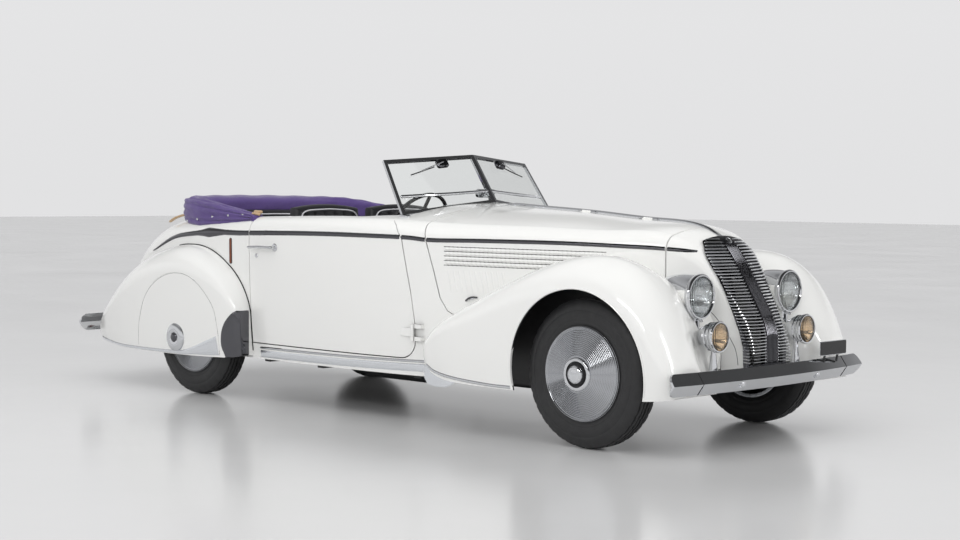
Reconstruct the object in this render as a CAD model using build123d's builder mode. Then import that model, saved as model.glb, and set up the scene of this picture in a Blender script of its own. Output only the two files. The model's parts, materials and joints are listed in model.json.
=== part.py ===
from build123d import *
import math
import os

# An open four-seat touring car of the late nineteen-thirties, +X forwards, +Y to its left, +Z up.
# The origin is on the ground under the middle of its length. All sizes are in millimetres.

# Driving dimensions
WHEELBASE = 3100.0
TRACK = 1400.0
FRONT_OVERHANG = 650.0  # front axle to the face of the front bumper
REAR_OVERHANG = 1250.0  # rear axle to the face of the rear bumper
TYRE_R = 367.5
TYRE_W = 160.0
RIM_R = 226.0  # outside of the rim flange, where the tyre's bead sits

# Walls and gaps
CABIN_WALL = 50.0  # whole thickness of a door or cabin wall
BONNET_WALL = 16.0
WING_WALL = 12.0  # the mudguards' pressed walls with their wired edges
SHUT_GAP = 6.0  # round doors and lids
RUN_GAP = 0.05  # radial clearance of a hub on its shaft

LENGTH = FRONT_OVERHANG + WHEELBASE + REAR_OVERHANG
FA = LENGTH / 2 - FRONT_OVERHANG  # x of the front axle
RA = FA - WHEELBASE  # x of the rear axle

# Body sections, from tail to nose. x is measured from an axle; the side leans from w0 at the
# bottom z0 to w at the shoulder zs, which turns by radius r into a crown of height zc.
BODY = [
    # axle, x, w0, w, z0, zs, zc, r
    (RA, -1180, 300, 330, 330, 400, 470, 62),
    (RA, -1125, 395, 425, 310, 490, 585, 75),
    (RA, -1000, 465, 500, 290, 650, 765, 90),
    (RA, -800, 520, 555, 270, 805, 930, 100),
    (RA, -520, 580, 612, 255, 915, 1040, 105),
    (RA, -150, 645, 680, 250, 965, 1090, 105),
    (RA, 490, 695, 735, 250, 985, 1125, 105),
    (RA, 1100, 710, 755, 250, 995, 1155, 105),
    (FA, -1400, 690, 725, 250, 990, 1185, 105),
    (FA, -1050, 620, 655, 250, 975, 1166, 105),
    (FA, -550, 455, 545, 260, 970, 1137, 100),
    (FA, -150, 372, 435, 270, 965, 1106, 95),
    (FA, 150, 300, 325, 290, 955, 1072, 85),
    (FA, 280, 240, 255, 300, 895, 1005, 75),
    (FA, 400, 190, 200, 305, 752, 855, 66),
    (FA, 500, 165, 172, 310, 590, 690, 60),
    (FA, 555, 138, 145, 315, 440, 530, 55),
]

# Front wing sections: inner and outer y, shoulder radius, bottom, crest height, inner height.
FRONT_WING = [
    # x from front axle, y_in, y_out, r, z_bot, z_top, z_in
    (-1108, 600, 765, 30, 350, 430, 408),
    (-1080, 590, 790, 48, 325, 470, 430),
    (-1030, 580, 803, 68, 298, 525, 472),
    (-930, 560, 822, 85, 272, 588, 525),
    (-760, 490, 838, 115, 260, 672, 590),
    (-550, 400, 845, 140, 258, 772, 655),
    (-250, 330, 847, 170, 258, 894, 760),
    (30, 290, 847, 190, 262, 942, 795),
    (250, 200, 842, 185, 268, 885, 740),
    (340, 160, 835, 180, 270, 815, 660),
    (400, 190, 827, 176, 272, 738, 520),
    (450, 310, 815, 168, 275, 652, 370),
    (500, 385, 790, 140, 280, 545, 330),
    (538, 420, 745, 105, 292, 425, 315),
]

# Rear wing sections, same columns.
REAR_WING = [
    # x from rear axle, y_in, y_out, r, z_bot, z_top, z_in
    (482, 620, 796, 62, 266, 520, 450),
    (440, 600, 830, 92, 256, 640, 540),
    (270, 560, 852, 130, 248, 800, 680),
    (-50, 530, 862, 150, 242, 905, 770),
    (-350, 490, 860, 160, 242, 870, 730),
    (-650, 430, 842, 165, 248, 752, 610),
    (-900, 360, 795, 150, 262, 588, 480),
    (-1080, 300, 725, 110, 295, 455, 395),
    (-1140, 290, 665, 60, 325, 400, 372),
]

# Spats fill the rear wings' wheel openings: the arcs of their outline in side view
SPAT_GAP = 0.8
SPAT_ARCS = [
    # start, middle, end: x from rear axle, z
    ((-476, 260), (-455, 420), (-398, 568)),
    ((-398, 568), (-262, 690), (-60, 738)),
    ((-60, 738), (135, 690), (282, 553)),
    ((282, 553), (322, 430), (335, 260)),
]

# Doors: outline in side view
DOOR_REAR = RA + 490.0
DOOR_BOTTOM = 345.0
DOOR_FRONT_TOP = FA - 1450.0  # on the sill, behind the windscreen's foot
DOOR_FRONT_SHOULDER = FA - 1395.0
DOOR_FRONT_BELT = FA - 1337.0
DOOR_FRONT_MID = FA - 1278.0
DOOR_FRONT_LOW = FA - 1257.0
DOOR_CORNER_R = 95.0

# Cockpit opening in the top of the body, in plan
COCKPIT_REAR = RA - 200.0
COCKPIT_FRONT = FA - 1415.0
COCKPIT_W_REAR = 545.0
COCKPIT_W_MID = 655.0
COCKPIT_W_FRONT = 628.0

# Bonnet: outline in side view; the hinge line slopes with the crown
BONNET_REAR_TOP = FA - 1200.0
BONNET_REAR_LOW = FA - 1045.0
BONNET_FRONT = FA + 150.0
BONNET_REAR_EDGE = [
    # x, z
    (BONNET_REAR_TOP, 1400),
    (BONNET_REAR_TOP, 1070),
    (BONNET_REAR_TOP + 28, 975),
    (BONNET_REAR_TOP + 78, 811),
    (BONNET_REAR_LOW - 43, 680),
    (BONNET_REAR_LOW, 612),
    (BONNET_REAR_LOW + 105, 560),
    (BONNET_REAR_LOW + 165, 480),
]
STRIP_HALF_W = 20.0  # the fixed strip between the bonnet halves
HINGE_LINE_X = FA - 350.0  # where each half's hinge line touches the crown
HINGE_LINE_Y = 26.5
HINGE_LINE_Z = 1123.5
HINGE_LINE_SLOPE = math.atan2(101.0, 1322.0)

BULKHEAD_X = FA - 1100.0
BULKHEAD_T = 20.0

# Boot lid, in plan
BOOT_FRONT = RA - 670.0
BOOT_REAR = RA - 1030.0
BOOT_W = 400.0

# Floor
FLOOR_Z = 300.0
FLOOR_T = 20.0
REAR_FLOOR_Z = 500.0
HEELBOARD_X = RA + 330.0

# Chassis
RAIL_Y = 360.0
RAIL_W = 50.0
RAIL_TOP = 280.0
RAIL_BOTTOM = 220.0
FRONT_RAIL_END = FA + 420.0
KICK_TOP = 495.0  # rails rise over the rear axle

# Wheel arches
FRONT_ARCH_R = 412.0
REAR_ARCH_R = 398.0

# Steering and hubs
KING_PIN_Y = TRACK / 2 - 75.0
KING_PIN_R = 16.0
STUB_R = 21.0
PILLAR_LOW = 250.0
PILLAR_HIGH = 500.0

# Lamps
HEADLAMP_X = FA + 405.0
HEADLAMP_Y = 381.0
HEADLAMP_Z = 745.0
HEADLAMP_R = 108.0
FOGLAMP_X = FA + 518.0
FOGLAMP_Y = 377.0
FOGLAMP_Z = 557.0
FOGLAMP_R = 74.0

# Bumpers
BUMPER_HALF_W = 815.0
BUMPER_H = 108.0
BUMPER_D = 46.0
FRONT_BUMPER_Z = 355.0
REAR_BUMPER_Z = 372.0
BUMPER_SWEEP = 62.0  # how far the tips lie behind the middle

# Windscreen
SCREEN_BASE_Y = 620.0
SCREEN_TOP_Y = 583.0
SCREEN_BASE_X = FA - 1428.0
SCREEN_TOP_X = FA - 1625.0
SCREEN_VEE = 95.0  # the middle stands ahead of the sides
SCREEN_TOP_Z = 1405.0
SCREEN_TOP_RISE = 40.0
SCREEN_LOW_Z = 1100.0
SCREEN_MID_RISE = 78.0

# Steering wheel
WHEEL_X = FA - 1580.0
WHEEL_Y = -360.0
WHEEL_Z = 1052.0
WHEEL_R = 215.0
COLUMN_TILT = 32.0
COLUMN_R = 20.0

FAR = 1200.0  # beyond the car's width

os.makedirs("parts", exist_ok=True)


def save(part, name):
    """Labels a finished piece and writes it."""
    part.label = name
    export_step(part, f"parts/{name}.step")


def at(centre, radius, angle):
    """The point of a circle at an angle in radians."""
    return (centre[0] + radius * math.cos(angle), centre[1] + radius * math.sin(angle))


def body_face(x, w0, w, z0, zs, zc, r, t):
    """One closed cross-section of the body, t inside its outer surface and open below for t > 0."""
    w0, w, zc, r = w0 - t, w - t, zc - t, r - t
    if t > 0:
        z0 = z0 - 60
    rise = (zc - zs - r) / (w - r)
    turn = math.pi / 2 - 2 * math.atan(rise)
    crown_r = r + (w - r) / math.cos(turn)
    crown = (0, zc - crown_r)
    lean, height = w - w0, zs - z0
    side_r = (lean**2 + height**2) / (2 * lean)
    droop = math.asin(height / side_r)
    side = (w - side_r, zs)
    shoulder = (w - r, zs)
    with BuildSketch(Plane.YZ.offset(x)) as section:
        with BuildLine():
            for s in (1, -1):
                points = [
                    at(side, side_r, -droop),
                    at(side, side_r, -droop / 2),
                    (w, zs),
                    at(shoulder, r, turn / 2),
                    at(shoulder, r, turn),
                ]
                flank = [(s * y, z) for y, z in points]
                ThreePointArc(flank[0], flank[1], flank[2])
                ThreePointArc(flank[2], flank[3], flank[4])
            end = at(shoulder, r, turn)
            ThreePointArc(end, (0, crown[1] + crown_r), (-end[0], end[1]))
            low = at(side, side_r, -droop)
            Line(low, (-low[0], low[1]))
        make_face()
    return section.sketch


def wing_face(x, y_in, y_out, r, z_bot, z_top, z_in, t):
    """One closed cross-section of a mudguard on the left: upright outer side, round crest, swept inner fall."""
    crest_y = y_out - r
    span, fall = crest_y - y_in, z_top - z_in
    sweep_r = (span**2 + fall**2) / (4 * fall)
    bend = math.asin(min(1.0, span / (2 * sweep_r)))
    crown = (crest_y, z_top - sweep_r)
    valley = (y_in, z_in + sweep_r)
    y_out, r = y_out - t, r - t
    if t > 0:
        z_bot = z_bot - 60
    tuck = min(14.0, 0.5 * r)
    height = z_top - t - r - z_bot
    side_r = (tuck**2 + height**2) / (2 * tuck)
    droop = math.asin(height / side_r)
    side = (y_out - side_r, z_top - t - r)
    shoulder = (crest_y, z_top - t - r)
    low = at(side, side_r, -droop)
    convex_r, hollow_r = sweep_r - t, sweep_r + t
    up = math.pi / 2
    with BuildSketch(Plane.YZ.offset(x)) as section:
        with BuildLine():
            ThreePointArc(low, at(side, side_r, -droop / 2), (y_out, side[1]))
            ThreePointArc((y_out, side[1]), at(shoulder, r, up / 2), at(shoulder, r, up))
            ThreePointArc(
                at(crown, convex_r, up), at(crown, convex_r, up + bend / 2), at(crown, convex_r, up + bend)
            )
            ThreePointArc(
                at(valley, hollow_r, bend - up), at(valley, hollow_r, bend / 2 - up), at(valley, hollow_r, -up)
            )
            Polyline((y_in, valley[1] - hollow_r), (y_in, z_bot), low)
        make_face()
    return section.sketch


def body_loft(t):
    """The body's whole form, t inside its outer surface."""
    with BuildPart() as form:
        for i, (axle, x, *row) in enumerate(BODY):
            ends = {0: t, len(BODY) - 1: -t}
            add(body_face(axle + x + ends.get(i, 0), *row, t))
        loft()
    return form.part


def wing_loft(axle, table, t):
    """A mudguard's whole form, t inside its outer surface."""
    rows = sorted(table)
    with BuildPart() as form:
        for i, (x, *row) in enumerate(rows):
            ends = {0: t, len(rows) - 1: -t}
            add(wing_face(axle + x + ends.get(i, 0), *row, t))
        loft()
    return form.part


def box(x0, x1, y0, y1, z0, z1):
    """A block between six limits."""
    return Pos((x0 + x1) / 2, (y0 + y1) / 2, (z0 + z1) / 2) * Box(x1 - x0, y1 - y0, z1 - z0)


def across(x, z, radius, y0, y1):
    """A cylinder along Y between two limits."""
    return Pos(x, (y0 + y1) / 2, z) * Rot(90, 0, 0) * Cylinder(radius, y1 - y0)


def side_prism(points, y0, y1, corner=0.0, corners=()):
    """A side-view outline pushed along Y between two limits, with some corners rounded."""
    with BuildPart() as prism:
        with BuildSketch(Plane.XZ.offset(-y0)) as outline:
            with BuildLine():
                Polyline(*points, close=True)
            make_face()
            if corner:
                rounded = [outline.vertices().sort_by_distance((points[i][0], y0, points[i][1]))[0] for i in corners]
                fillet(rounded, corner)
        extrude(amount=-(y1 - y0))
    return prism.part


def spat_prism(grow):
    """The spat's outline grown by a gap, pushed through the wing's outer wall."""
    with BuildPart() as prism:
        with BuildSketch(Plane.XZ.offset(-700)) as outline:
            with BuildLine():
                for arc in SPAT_ARCS:
                    ThreePointArc(*[(RA + x, z) for x, z in arc])
                start, end = SPAT_ARCS[0][0], SPAT_ARCS[-1][2]
                Polyline(
                    (RA + start[0], start[1]), (RA + start[0], 150), (RA + end[0], 150), (RA + end[0], end[1])
                )
            make_face()
            if grow:
                offset(amount=grow)
        extrude(amount=-(FAR - 700))
    return prism.part


def plan_prism(points, z0, z1, corner=0.0):
    """A plan outline pushed up between two heights, with its corners rounded."""
    with BuildPart() as prism:
        with BuildSketch(Plane.XY.offset(z0)) as outline:
            with BuildLine():
                Polyline(*points, close=True)
            make_face()
            if corner:
                fillet(outline.vertices(), corner)
        extrude(amount=z1 - z0)
    return prism.part


def turned(points, x=0.0, y=0.0, z=0.0):
    """A ring or disc turned about Y from (radius, y) points."""
    with BuildPart() as ring:
        with BuildSketch(Plane.XY):
            with BuildLine():
                Polyline(*points, close=True)
            make_face()
        revolve(axis=Axis.Y)
    return Pos(x, y, z) * ring.part


def largest(part):
    """The largest solid of a piece, without slivers that a cut leaves."""
    return part.solids().sort_by(SortBy.VOLUME)[-1]


def both_sides(part):
    """A piece and its mirror image on the other side of the car."""
    return part + mirror(part, Plane.XZ)


def body_width(x):
    """Half-width of the body's shoulder at x, between the two nearest sections."""
    rows = [(axle + dx, w) for axle, dx, w0, w, *rest in BODY]
    for (xa, wa), (xb, wb) in zip(rows, rows[1:]):
        if xa <= x <= xb:
            return wa + (wb - wa) * (x - xa) / (xb - xa)
    raise ValueError("x lies outside the body")


# Whole forms that the panels are cut from
body_form = body_loft(0)
cabin_space = body_loft(CABIN_WALL)
bonnet_space = body_loft(BONNET_WALL)
front_wing_form = wing_loft(FA, FRONT_WING, 0)
front_wing_space = wing_loft(FA, FRONT_WING, WING_WALL)
front_wing_margin = wing_loft(FA, FRONT_WING, -SHUT_GAP)
rear_wing_form = wing_loft(RA, REAR_WING, 0)
rear_wing_space = wing_loft(RA, REAR_WING, WING_WALL)

# Door outline, and the same grown by the shut gap
DOOR_FRONT_EDGE = [
    # x, z
    (DOOR_FRONT_LOW, DOOR_BOTTOM + 195),
    (DOOR_FRONT_MID, 700),
    (DOOR_FRONT_BELT, 990),
    (DOOR_FRONT_SHOULDER, 1060),
    (DOOR_FRONT_TOP, 1093),
    (DOOR_FRONT_TOP, 1300),
]
door_points = [(DOOR_REAR, DOOR_BOTTOM), (DOOR_FRONT_LOW, DOOR_BOTTOM)]
door_points = door_points + DOOR_FRONT_EDGE + [(DOOR_REAR, 1300)]
door_outline = side_prism(door_points, 300, FAR, DOOR_CORNER_R, (1,))
door_hole_points = [
    (DOOR_REAR - SHUT_GAP, DOOR_BOTTOM - SHUT_GAP),
    (DOOR_FRONT_LOW + SHUT_GAP, DOOR_BOTTOM - SHUT_GAP),
]
door_hole_points = door_hole_points + [(x + SHUT_GAP, z) for x, z in DOOR_FRONT_EDGE]
door_hole_points = door_hole_points + [(DOOR_REAR - SHUT_GAP, 1300)]
door_hole = side_prism(door_hole_points, 300, FAR, DOOR_CORNER_R + SHUT_GAP, (1,))

# Cockpit opening in plan
cockpit_points = [
    (COCKPIT_REAR, -COCKPIT_W_REAR),
    (RA + 300, -COCKPIT_W_MID),
    (COCKPIT_FRONT - 300, -COCKPIT_W_MID),
    (COCKPIT_FRONT, -COCKPIT_W_FRONT + 60),
    (COCKPIT_FRONT, COCKPIT_W_FRONT - 60),
    (COCKPIT_FRONT - 300, COCKPIT_W_MID),
    (RA + 300, COCKPIT_W_MID),
    (COCKPIT_REAR, COCKPIT_W_REAR),
]
cockpit_hole = plan_prism(cockpit_points, 900, 1400, 60)

# Bonnet region in side view
bonnet_region = side_prism(
    BONNET_REAR_EDGE + [(BONNET_FRONT, 480), (BONNET_FRONT, 1400)], STRIP_HALF_W + 0.3, FAR
)
ahead_of_scuttle = side_prism(
    [(x - SHUT_GAP, z - 3) for x, z in BONNET_REAR_EDGE]
    + [(BONNET_REAR_LOW + 165 - SHUT_GAP, 100), (FA + 900, 100), (FA + 900, 1397)],
    -FAR,
    FAR,
)

# Bumper irons, which the panels are pierced for
REAR_RAIL_Y = 300.0
front_irons = box(FRONT_RAIL_END, FA + FRONT_OVERHANG - 24, REAR_RAIL_Y + 5, REAR_RAIL_Y + 45, 320, 346)
front_iron_hole = box(FA + 380, FA + 700, REAR_RAIL_Y + 2, REAR_RAIL_Y + 48, 317, 349)
rear_irons = box(RA - REAR_OVERHANG + 24, RA - 1080, REAR_RAIL_Y + 5, REAR_RAIL_Y + 45, 345, 385)
rear_iron_hole = box(RA - 1300, RA - 1080, REAR_RAIL_Y + 2, REAR_RAIL_Y + 48, 342, 388)

# Cabin tub with sills, quarters and rear deck
shell = body_form - cabin_space
split_x = DOOR_FRONT_LOW + SHUT_GAP
front_arch = across(FA, TYRE_R, FRONT_ARCH_R, 0, FAR)
rear_arch = across(RA, TYRE_R, REAR_ARCH_R, 590, FAR)
boot_points = [
    (BOOT_REAR, -BOOT_W + 60),
    (BOOT_REAR, BOOT_W - 60),
    (BOOT_FRONT, BOOT_W),
    (BOOT_FRONT, -BOOT_W),
]
boot_hole = plan_prism(boot_points, 560, 1400, 70)
wheel_house = across(RA, TYRE_R, REAR_ARCH_R + 14, 576, 600) + across(
    RA, TYRE_R, REAR_ARCH_R + 14, 588, 720
)
tub = shell & box(RA - 1400, split_x, -FAR, FAR, 0, 1400)
tub = tub - box(DOOR_REAR + 200, split_x, -FAR, FAR, DOOR_BOTTOM, 1400)
tub = tub + both_sides(wheel_house & body_form & box(RA - 600, RA + 600, 0, FAR, 252, 1400))
tub = tub - both_sides(door_hole) - cockpit_hole - boot_hole - both_sides(rear_arch)
axle_slot = across(RA, TYRE_R, 165, 540, 700) + box(RA - 165, RA + 165, 540, 700, 0, TYRE_R)
tub = tub - both_sides(axle_slot) - both_sides(rear_iron_hole)

lid_space = body_loft(30)
boot_lid_points = [
    (BOOT_REAR + SHUT_GAP, -BOOT_W + 60 + SHUT_GAP),
    (BOOT_REAR + SHUT_GAP, BOOT_W - 60 - SHUT_GAP),
    (BOOT_FRONT - SHUT_GAP, BOOT_W - SHUT_GAP),
    (BOOT_FRONT - SHUT_GAP, -BOOT_W + SHUT_GAP),
]
boot_lid = (body_form - lid_space) & plan_prism(boot_lid_points, 560, 1400, 66)
LID_HINGE_R = 10.0
lid_hinge_x = BOOT_FRONT - SHUT_GAP / 2
lid_hinge_z = 1003.0
lid_hinges = Part()
lid_leaves = Part()
for y in (-220, 220):
    eye = across(lid_hinge_x, lid_hinge_z, LID_HINGE_R, y - 15, y + 15)
    eye = eye + box(lid_hinge_x - 50, lid_hinge_x, y - 15, y + 15, lid_hinge_z - 45, lid_hinge_z - 2)
    eye = eye - box(lid_hinge_x - SHUT_GAP / 2, lid_hinge_x + 20, y - 20, y + 20, 900, lid_hinge_z - LID_HINGE_R)
    lid_leaves = lid_leaves + (eye - across(lid_hinge_x, lid_hinge_z, 4 + RUN_GAP, y - 60, y + 60))
    for end in (1, -1):
        y0, y1 = sorted((y + end * 15.3, y + end * 30))
        ear = across(lid_hinge_x, lid_hinge_z, LID_HINGE_R, y0, y1)
        ear = ear + box(lid_hinge_x, lid_hinge_x + 50, y0, y1, lid_hinge_z - 45, lid_hinge_z - 2)
        ear = ear - box(lid_hinge_x - 20, lid_hinge_x + SHUT_GAP / 2, y0 - 5, y1 + 5, 900, lid_hinge_z - LID_HINGE_R)
        lid_hinges = lid_hinges + ear
    lid_hinges = lid_hinges + across(lid_hinge_x, lid_hinge_z, 4, y - 30, y + 30)
boot_lid = boot_lid + lid_leaves
tub = tub + lid_hinges
save(tub, "rear_body")
save(boot_lid, "boot_lid")

# Scuttle with its bulkhead
bulkhead = cabin_space & box(BULKHEAD_X - BULKHEAD_T, BULKHEAD_X, -FAR, FAR, 330, 1400)
scuttle = shell & box(split_x - 400, FA, -FAR, FAR, 0, 1400)
scuttle = scuttle - box(split_x - 400, split_x, -FAR, FAR, 0, DOOR_BOTTOM)
scuttle = scuttle - both_sides(door_hole) - cockpit_hole
scuttle = scuttle & box(DOOR_FRONT_TOP - 80, FA, -FAR, FAR, 0, 1400)
scuttle = scuttle - ahead_of_scuttle - both_sides(front_wing_form)
HINGE_R = 10.0
HINGE_PIN_R = 5.0
hinge_x = DOOR_FRONT_LOW + SHUT_GAP / 2
hinge_y = body_width(hinge_x) + HINGE_R + 0.5
HINGE_Z = [486.0]
door_leaves = Part()
post_leaves = Part()
for z in HINGE_Z:
    pin_place = Pos(hinge_x, hinge_y, z)
    strap_y0, strap_y1 = hinge_y - 50, hinge_y - 5
    door_leaf = pin_place * Cylinder(HINGE_R, 45)
    door_leaf = door_leaf + box(hinge_x - 100, hinge_x, strap_y0, strap_y1, z - 22.5, z + 22.5)
    door_leaf = door_leaf - box(hinge_x - SHUT_GAP / 2, hinge_x + 20, strap_y0 - 5, hinge_y - HINGE_R, z - 30, z + 30)
    door_leaf = door_leaf - pin_place * Cylinder(HINGE_PIN_R + RUN_GAP, 60)
    door_leaves = door_leaves + door_leaf
    for end in (1, -1):
        ear_z = z + end * 33.8
        ear = Pos(hinge_x, hinge_y, ear_z) * Cylinder(HINGE_R, 22)
        ear = ear + box(hinge_x, hinge_x + 60, strap_y0, strap_y1, ear_z - 11, ear_z + 11)
        ear = ear - box(hinge_x - 20, hinge_x + SHUT_GAP / 2, strap_y0 - 5, hinge_y - HINGE_R, ear_z - 12, ear_z + 12)
        post_leaves = post_leaves + ear
    post_leaves = post_leaves + pin_place * Cylinder(HINGE_PIN_R, 80)
scuttle = scuttle + both_sides(post_leaves) + (bulkhead - both_sides(front_wing_form))
save(scuttle, "scuttle")

# Doors
door = shell & door_outline
door = door - cockpit_hole + door_leaves
save(door, "door_left")
save(mirror(door, Plane.XZ), "door_right")

# Bonnet halves and the fixed strip between them
bonnet = ((body_form - bonnet_space) & bonnet_region) - front_wing_margin
BARREL_R = 6.5
BARREL_PIN_R = 2.5


def on_hinge_line(along, piece):
    """A piece made about X, laid on the left half's hinge line at a distance along it."""
    tilt = Rot(0, math.degrees(HINGE_LINE_SLOPE), 0)
    return Pos(HINGE_LINE_X, HINGE_LINE_Y, HINGE_LINE_Z) * tilt * Pos(along, 0, 0) * piece


def rod(radius, length):
    """A round rod along X."""
    return Rot(0, 90, 0) * Cylinder(radius, length)


bonnet_barrels = Part()
strip_barrels = Part()
for along in (-260, 160):
    bonnet = bonnet - on_hinge_line(along, Pos(0, 0.5, 0) * Box(122, 14, 40))
    barrel = on_hinge_line(along, rod(BARREL_R, 60))
    barrel = barrel + on_hinge_line(along, Pos(0, 9, -6) * Box(60, 14, 12))
    barrel = barrel - on_hinge_line(along, rod(BARREL_PIN_R + RUN_GAP, 80))
    bonnet_barrels = bonnet_barrels + barrel
    for end in (-45.3, 45.3):
        ear = on_hinge_line(along + end, rod(BARREL_R, 30))
        ear = ear + on_hinge_line(along + end, Pos(0, -7, -6) * Box(30, 14, 12))
        strip_barrels = strip_barrels + ear
    strip_barrels = strip_barrels + on_hinge_line(along, rod(BARREL_PIN_R, 100))
bonnet = largest(bonnet + bonnet_barrels)
save(bonnet, "bonnet_left")
save(mirror(bonnet, Plane.XZ), "bonnet_right")

# Grille
GRILLE_PROUD = 14.0
grille_form = body_loft(-GRILLE_PROUD) - body_loft(12)
GRILLE_FRAME = 14.0
GRILLE_EDGE = [
    # x from front axle, z: the edge in side view, which runs round the nose
    (262, 1100),
    (262, 1010),
    (286, 981),
    (334, 907),
    (381, 834),
    (418, 767),
    (464, 667),
    (502, 569),
    (520, 494),
    (523, 388),
]
grille_side = [(FA + x, z) for x, z in GRILLE_EDGE] + [(FA + 900, 388), (FA + 900, 1100)]
grille_region = side_prism(grille_side, -FAR, FAR)
slot_side = [(FA + x + GRILLE_FRAME, z - 4) for x, z in GRILLE_EDGE]
slot_side[-1] = (FA + 523 + GRILLE_FRAME, 388 + GRILLE_FRAME)
slot_region = side_prism(slot_side + [(FA + 900, 388 + GRILLE_FRAME), (FA + 900, 1096)], -FAR, FAR)
nose_x = BONNET_FRONT + SHUT_GAP
nose = (body_form - bonnet_space) & box(nose_x, FA + 900, -FAR, FAR, 0, 1400)
nose = largest(nose - both_sides(front_wing_form) - grille_region)
save(nose, "nose")

# Room for the chassis rails in the panels beside the engine
chassis_gap = box(FA - 900, FA + 480, -5, REAR_RAIL_Y + RAIL_W + 3, 180, 385)

grille = grille_form & grille_region
BAR_ROWS = 38
BAR_PITCH = 15.2
rows = Part()
for i in range(BAR_ROWS):
    z = 410 + BAR_PITCH * i
    rows = rows + box(FA + 200, FA + 700, 58, 300, z, z + 8.4)
grille = grille - both_sides(rows & slot_region)
ribs = Part()
for i in range(9):
    y = -46.5 + 11 * i
    ribs = ribs + box(FA + 260, FA + 700, y, y + 5, 410, 700)
    ribs = ribs + box(FA + 260, FA + 700, y, y + 5, 712, 985)
grille = grille - ribs
save(grille, "grille")

# Fixed strip down the middle of the bonnet
strip = (body_loft(-4) - bonnet_space) & box(
    BONNET_REAR_TOP - SHUT_GAP, FA + 250, -STRIP_HALF_W + 0.3, STRIP_HALF_W - 0.3, 600, 1400
)
strip = largest(strip + both_sides(strip_barrels) - scuttle - nose - grille)
save(strip, "bonnet_strip")

# Front wings, with the inner panel that closes the engine space beside the wheel
inner_panel = ((body_form - bonnet_space) & front_wing_form) - across(FA, TYRE_R, 300, 0, FAR)
inner_panel = inner_panel & box(BONNET_REAR_LOW + 95, FA + 900, 0, FAR, 0, 1400)
front_wing = (front_wing_form - front_wing_space - body_form) - front_arch
front_wing = largest(front_wing + inner_panel - front_iron_hole - chassis_gap)
save(front_wing, "front_wing_left")
save(mirror(front_wing, Plane.XZ), "front_wing_right")

rear_wing = largest(rear_wing_form - rear_wing_space - body_form)
spat = largest((rear_wing & spat_prism(0)) & box(RA - 700, RA + 600, 700, FAR, 0, 900))
rear_wing = largest(rear_wing - spat_prism(SPAT_GAP))
save(both_sides(rear_wing), "rear_wings")
save(both_sides(spat), "rear_spats")

# Cockpit side lines of the tub at the doors' rear edge are used by the seats and trim
INSIDE_W = 570.0

# Chassis rails: side outline, cross members and bumper irons
rail_points = [
    (RA - 1080, 330),
    (RA - 480, 330),
    (RA - 260, KICK_TOP - 70),
    (RA + 100, KICK_TOP - 70),
    (RA + 300, RAIL_BOTTOM),
    (FA - 300, RAIL_BOTTOM),
    (FA - 80, RAIL_BOTTOM + 8),
    (FRONT_RAIL_END, 292),
    (FRONT_RAIL_END, 352),
    (FA + 80, 290),
    (FA - 300, RAIL_TOP),
    (RA + 318, RAIL_TOP),
    (RA + 120, KICK_TOP),
    (RA - 280, KICK_TOP),
    (RA - 480, 400),
    (RA - 1080, 400),
]
rail = side_prism(rail_points, REAR_RAIL_Y, REAR_RAIL_Y + RAIL_W)
chassis_pieces = [rail, mirror(rail, Plane.XZ)]
for x, z, half in [
    (RA - 1000, 365, 22),
    (RA - 480, 365, 22),
    (RA + 600, 250, 22),
    (FA - 1300, 250, 22),
    (FA - 650, 250, 22),
    (FA + 360, 312, 22),
]:
    chassis_pieces.append(across(x, z, half, -REAR_RAIL_Y, REAR_RAIL_Y))
# outriggers carry the body sills
OUTRIGGER_X = [RA + 560, RA + 1050, FA - 1290]
for x in OUTRIGGER_X:
    for s in (1, -1):
        arm = box(x - 25, x + 25, REAR_RAIL_Y + RAIL_W, 750, RAIL_BOTTOM + 10, 270) & cabin_space
        chassis_pieces.append(arm if s > 0 else mirror(arm, Plane.XZ))
chassis = Compound([solid for piece in chassis_pieces for solid in piece.solids()])
save(chassis, "chassis_frame")

# Floor, bounded by the walls, with the seat riser over the back axle
floor_side = [
    (BULKHEAD_X - BULKHEAD_T, FLOOR_Z),
    (BULKHEAD_X - BULKHEAD_T, FLOOR_Z + FLOOR_T),
    (HEELBOARD_X + FLOOR_T, FLOOR_Z + FLOOR_T),
    (HEELBOARD_X + FLOOR_T, REAR_FLOOR_Z + FLOOR_T),
    (RA - 1080, REAR_FLOOR_Z + FLOOR_T),
    (RA - 1080, REAR_FLOOR_Z),
    (HEELBOARD_X, REAR_FLOOR_Z),
    (HEELBOARD_X, FLOOR_Z),
]
floor = side_prism(floor_side, -FAR, FAR) & cabin_space
floor = floor - both_sides(across(RA, TYRE_R, REAR_ARCH_R + 14, 576, FAR))
floor = floor - both_sides(front_wing_form)
floor = floor - chassis
save(floor, "floor_pan")

# Engine: one plain block where it sits
engine = box(FA - 780, FA - 60, -230, 230, 300, 860) + box(FA - 680, FA - 620, -80, 80, 272, 300)
engine = engine + box(FA - 240, FA - 180, -REAR_RAIL_Y, REAR_RAIL_Y, 272, 320)
engine = engine - across(FA - 650, 250, 22, -100, 100)
save(engine - chassis, "engine_block")
save(box(FA + 60, FA + 110, -REAR_RAIL_Y, REAR_RAIL_Y, 250, 880) - chassis, "radiator")

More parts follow.
